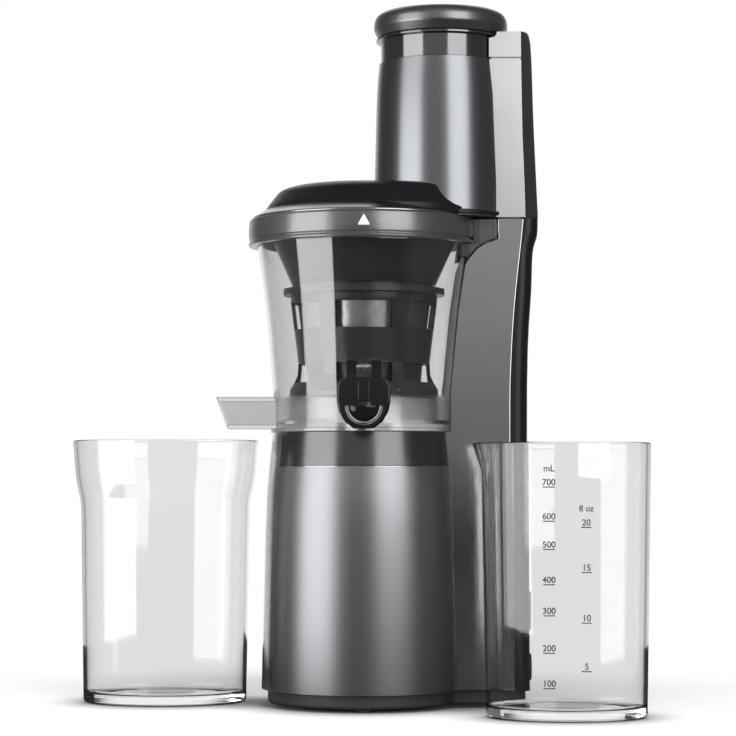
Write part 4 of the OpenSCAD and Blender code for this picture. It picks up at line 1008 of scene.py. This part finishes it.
def make_chute():
    """The brushed sleeve of the chute, the collar at its mouth and the pusher's cap."""
    line = flow([(r, z) for z, r in SLEEVE_LINE], 6)
    sleeve = turned("chute_sleeve_metal", wall(line, 1.2), CHUTE_X)
    soften(sleeve, 0.3, 2, 50)
    finish_piece(sleeve, "lid", SLEEVE, "brushed_graphite", "chute_sleeve")
    collar = turned("chute_collar_ring", [
        (35.8, SLEEVE_TOP), (38.2, SLEEVE_TOP, 0.3), (38.4, MOUTH_Z - 4.9, 0.3),
        (41.4, MOUTH_Z - 4.5, 0.3), (41.4, MOUTH_Z - 3.0, 0.4), (38.3, MOUTH_Z - 2.9),
        (38.3, MOUTH_Z - 0.1), (37.2, MOUTH_Z - 0.1), (35.8, 425)], CHUTE_X)
    finish_piece(collar, "lid", RING_BLACK, "gloss_black", "chute_collar")
    cap = turned("pusher_cap_lid", [
        (33.2, MOUTH_Z + 0.05), (38.8, MOUTH_Z + 0.05), (38.9, MOUTH_Z - 2.4),
        (40.2, MOUTH_Z - 2.4, 0.5), (42.9, MOUTH_Z + 3.4, 1.0), (42.6, CAP_TOP - 4.7, 2.0),
        (40.4, CAP_TOP - 1.1, 2.0), (37.2, CAP_TOP, 1.2), (0.02, CAP_TOP),
        (0.02, CAP_TOP - 3), (33.2, CAP_TOP - 3)], CHUTE_X)
    finish_piece(cap, "pusher", CAP_BLACK, "gloss_black", "pusher_cap")


def make_tower():
    """The silver tower behind the chute, with its seam, and its black spine."""
    foot = TOWER_Z + 0.6
    rear = [(101.8, foot), (101.2, 333), (100, 366), (99.2, TOWER_TOP)]
    outline = flow(rear, 6) + [(60, TOWER_TOP), (60, foot)]
    panel = side_slab("tower_panel_sides", outline, TOWER_HALF)
    room = turned("sleeve room", [
        (0, 300), (SLEEVE_ROOM_R, 300), (SLEEVE_ROOM_R, 330), (41.2, 387), (39.5, SLEEVE_TOP),
        (39.5, 422), (42.4, 422.8), (43.3, 424.9), (43.3, 430), (0, 430)], CHUTE_X)
    rim_room = turned("rim room", [(0, 300), (RIM_R + 0.4, 300), (RIM_R + 0.4, 308.2),
                                   (0, 308.2)])
    low, high = SLEEVE_TOP - 0.7, SLEEVE_TOP + 0.7
    seam = [side_slab("seam", [(50, low), (99.9, low), (99.9, high), (50, high)],
                      1.6, side) for side in (-TOWER_HALF, TOWER_HALF)]
    cut(panel, room, rim_room, *seam)
    soften(panel, 0.6, 3, 50)
    finish_piece(panel, "lid", SILVER, "satin_silver", "tower_panel")
    front = [(x + SEAM_GAP, z) for x, z in [(101.8, TOWER_Z)] + rear[1:]]
    spine = [(109.8, TOWER_Z), (107.2, 366), (105.3, 418), (100.9, TOWER_TOP)]
    cover = spine_form("tower_cover_shell", front, spine, TOWER_HALF, TOWER_Z, TOWER_TOP)
    soften(cover, 0.8, 3, 50)
    finish_piece(cover, "lid", COVER_BLACK, "gloss_black", "tower_cover")


# ---------- vessels ----------

def flatten(piece, at_y):
    """Squeezes a turned form across Y, so that it is oval."""
    activate(piece)
    bpy.ops.object.mode_set(mode="EDIT")
    bpy.ops.mesh.select_all(action="SELECT")
    bpy.ops.transform.resize(value=(1, OVAL, 1), center_override=place(0, at_y, 0))
    bpy.ops.object.mode_set(mode="OBJECT")


def make_jug():
    """The measuring jug with its pour lip and its marks."""
    x, y = JUG_AT
    jug = turned("juice_jug_shell", [
        (0.02, 1.6), (43, 1.6, 0.5), (44, 0.1, 0.3), (47.4, 0.1, 1.5), (JUG_FOOT_R, 1.7),
        (JUG_TOP_R, JUG_H - 0.6, 0.5), (JUG_TOP_R - 0.6, JUG_H, 0.5),
        (JUG_TOP_R - 2.2, JUG_H, 0.5), (46.3, 6.5, 2.2), (0.02, 4.4)], x, y)
    flatten(jug, y)
    pour_lip(jug, x, y)
    finish_piece(jug, "jug", CLEAR, "clear", "juice_jug")
    make_marks()


def pour_lip(jug, x, y):
    """Pulls the rim out towards -X into a small lip."""
    activate(jug)
    bpy.ops.object.mode_set(mode="EDIT")
    bpy.ops.mesh.select_all(action="SELECT")
    pick(jug, "faces", lambda m, f: m.z > 20 and m.x < x - 40)
    bpy.ops.mesh.subdivide(number_cuts=9)
    pick(jug, "verts", lambda m, v: m.z > JUG_H - 1 and m.x < x - 49 and abs(m.y - y) < 1.6)
    bpy.ops.transform.translate(
        value=place(-5.2, 0, 0), use_proportional_edit=True,
        proportional_edit_falloff="SMOOTH", proportional_size=11 * MM,
        use_proportional_connected=False)
    close_up(jug)


def lettering(text, size, centre_x, base_z, front):
    """A line of plain lettering, set just before the jug's face."""
    bpy.ops.object.select_all(action="DESELECT")
    bpy.ops.object.text_add()
    words = bpy.context.object
    words.data.body = text
    words.data.size = size * MM
    words.data.align_x = "CENTER"
    words.data.extrude = 0.12 * MM
    words.data.offset = 0.11 * MM
    bpy.ops.object.convert(target="MESH")
    words = bpy.context.object
    words.rotation_euler = (math.pi / 2, 0, 0)
    bpy.ops.object.transform_apply(rotation=True, location=False, scale=False)
    words.location = place(centre_x, front(centre_x, base_z), base_z)
    bpy.ops.object.transform_apply(rotation=False, location=True, scale=False)
    return words


def make_marks():
    """The jug's plain numbers, each with a stroke under it."""
    x, y = JUG_AT

    def front(px, pz):
        """Just before the jug's front face, at a place on it."""
        a = JUG_FOOT_R + (JUG_TOP_R - JUG_FOOT_R) * pz / JUG_H
        return y - OVAL * math.sqrt(max(a * a - (px - x) ** 2, 0)) - 0.1

    columns = (
        (ML_X, 3.5, (139.4, 119.3, 102.7, 82, 63.8, 41.9, 21.2), range(700, 0, -100)),
        (OZ_X, 3, (115.7, 89.2, 59.6, 31.2), range(20, 0, -5)))
    marks = []
    for middle, half, heights, numbers in columns:
        for z, n in zip(heights, numbers):
            marks.append(lettering(str(n), MARK_SIZE, middle, z, front))
            marks.append(stroke(middle - half, middle + half, z - 1.5, front))
    marks.append(lettering("mL", MARK_SIZE, ML_X, 147.5, front))
    marks.append(lettering("fl oz", 5.0, OZ_X, 124.0, front))
    finish_piece(join("jug_marks", *marks), "jug", PRINT, "clear")


def stroke(x0, x1, z, front):
    """A short level line under a number."""
    y = front((x0 + x1) / 2, z)
    return front_slab("stroke", [(x0, z), (x1, z), (x1, z + STROKE_W), (x0, z + STROKE_W)],
                      y - 0.1, y + 0.1)


def make_container():
    """The pulp container, which widens in a step near its mouth."""
    x, y = TUB_AT
    outer = [(0.02, 1.6), (46, 1.6, 0.5), (47, 0.1, 0.3), (50.8, 0.1, 1.7), (52.2, 2),
             (54.4, 127.7, 4), (58, 144.5, 5), (59.8, TUB_H - 0.6, 0.5), (59.2, TUB_H, 0.5)]
    inner = [(57.6, TUB_H, 0.5), (55.8, 144.5, 5), (52.2, 127.7, 4), (50.2, 6.5, 2.4),
             (0.02, 4.4)]
    tub = turned("pulp_container_shell", outer + inner, x, y)
    flatten(tub, y)
    finish_piece(tub, "tub", CLEAR, "clear", "pulp_container")


# ---------- stage, lamps and camera ----------

def make_stage():
    """A round white table that melts into the white room away from the object."""
    bpy.ops.object.select_all(action="DESELECT")
    bpy.ops.mesh.primitive_circle_add(vertices=ROUND, radius=TABLE_R, fill_type="NGON",
                                      location=(0, 0, 0))
    floor = bpy.context.object
    floor.name = "floor"
    paint = Paint("floor white", FLOOR_WHITE, 0.6, 0.0, Specular_IOR_Level=0.0)
    away = paint.node("ShaderNodeVectorMath", {"operation": "LENGTH"},
                      {0: paint.spot()}, out="Value")
    seen = paint.straight()
    far = paint.ramp(away, TABLE_NEAR, TABLE_FAR) * seen
    gloss = paint.path("Is Glossy Ray") * (1 - seen) * 0.95
    # painted shadow: ambient occlusion darkens the table's colour and glow, for camera rays,
    # where something stands on it
    open_air = paint.node("ShaderNodeAmbientOcclusion", None,
                          {"Distance": CONTACT_REACH}, out="AO")
    painted_contact_shadow = 1 - (1 - paint.ramp(open_air, 0.3, 1.0, 0.5, 1.0)) * paint.path("Is Camera Ray")
    white = (1 - far - gloss) * painted_contact_shadow * painted_contact_shadow
    paint.set("Base Color", paint.shade(white, (0, 0, 0), FLOOR_WHITE))
    glow = (far + (1 - far) * seen * FLOOR_GLOW) * painted_contact_shadow
    paint.set("Emission Color", paint.shade(glow, (0, 0, 0), (1, 1, 1)))
    paint.set("Emission Strength", 1.0)
    floor.data.materials.append(paint.material)


def make_world():
    """White where the camera or clear plastic looks, a softer room for gloss and light."""
    world = bpy.data.worlds.new("studio")
    bpy.context.scene.world = world
    world.use_nodes = True
    room = Nodes(world.node_tree)
    room.tree.nodes.clear()
    where = room.node("ShaderNodeTexCoord", out="Generated")

    def part(axis):
        return room.node("ShaderNodeSeparateXYZ", None, {0: where}, out=axis)

    level = room.node("ShaderNodeMapRange", None, {
        "Value": part("Z"), "From Min": -0.05, "From Max": 0.25})
    front = room.node("ShaderNodeValToRGB", {"stops": [
        (0.12, 0.03), (0.20, 0.20), (0.33, 0.30), (0.52, 0.42), (0.73, 0.50)]}, {0: level})
    back = room.ramp(part("Y"), 0.70, 0.97)
    side = room.ramp(part("Y"), -0.85, -0.45)
    gloss = room.mix(back, room.mix(side, front, 0.14), 1.0)
    scattered = room.node("ShaderNodeMath", {"operation": "LESS_THAN"}, {
        0: 0.5, 1: room.path("Diffuse Depth")})
    light = room.mix(room.straight(), room.mix(scattered, gloss, 0.52), 1.0)
    sky = room.node("ShaderNodeBackground", None, {"Color": (1, 1, 1, 1), "Strength": light})
    room.node("ShaderNodeOutputWorld", None, {"Surface": sky})


def softbox(name, size, radiance, angle, height, distance=1.7, aim=0.15, **seen):
    """An area lamp at an angle to the right of the viewer's side, seen from the object."""
    data = bpy.data.lights.new(name, "AREA")
    data.shape = "RECTANGLE"
    data.size, data.size_y = size
    data.energy = radiance * math.pi * size[0] * size[1]
    lamp = bpy.data.objects.new(name, data)
    bpy.context.scene.collection.objects.link(lamp)
    a = math.radians(angle)
    spot = Vector((distance * math.sin(a), -distance * math.cos(a), height))
    lamp.location = spot
    lamp.rotation_euler = (Vector((0.02, 0, aim)) - spot).to_track_quat("-Z", "Y").to_euler()
    for rays, on in seen.items():
        setattr(lamp, rays, on)


def make_lamps():
    """Each lamp has its width and height, its radiance, its angle and how high it hangs."""
    softbox("left softbox", (1.32, 1.27), 3.7, -55.5, 0.11)
    softbox("upper left softbox", (1.32, 0.66), 2.4, -55.5, 1.08)
    softbox("right softbox", (1.12, 1.45), 3.2, 31, 0.78)
    softbox("back softbox", (1.5, 1.0), 0.9, 180, 1.5, 1.1, 0.1, visible_diffuse=False)
    softbox("front fill", (1.2, 1.0), 4.0, 5, 1.6, 1.3, 0.1, visible_glossy=False,
            visible_transmission=False)


def make_camera():
    """A long lens at the lower half of the object, looking up a little."""
    data = bpy.data.cameras.new("camera")
    data.lens = CAMERA_LENS
    data.sensor_width = CAMERA_SENSOR
    data.clip_end = 60
    camera = bpy.data.objects.new("camera", data)
    bpy.context.scene.collection.objects.link(camera)
    camera.location = CAMERA_AT
    camera.rotation_euler = (math.radians(90 + CAMERA_RISE), 0, 0)
    bpy.context.scene.camera = camera


dress_frame()
make_housing()
make_liner()
make_wraps()
make_back_cover()
make_tray()
make_feet()
make_switch()
make_inlet()
make_bowl()
make_rim()
make_pulp_chute()
make_spout()
make_spout_cap()
make_lid()
make_chute()
make_tower()
make_jug()
make_container()
make_stage()
make_world()
make_lamps()
make_camera()
bpy.context.scene.view_settings.view_transform = "Standard"
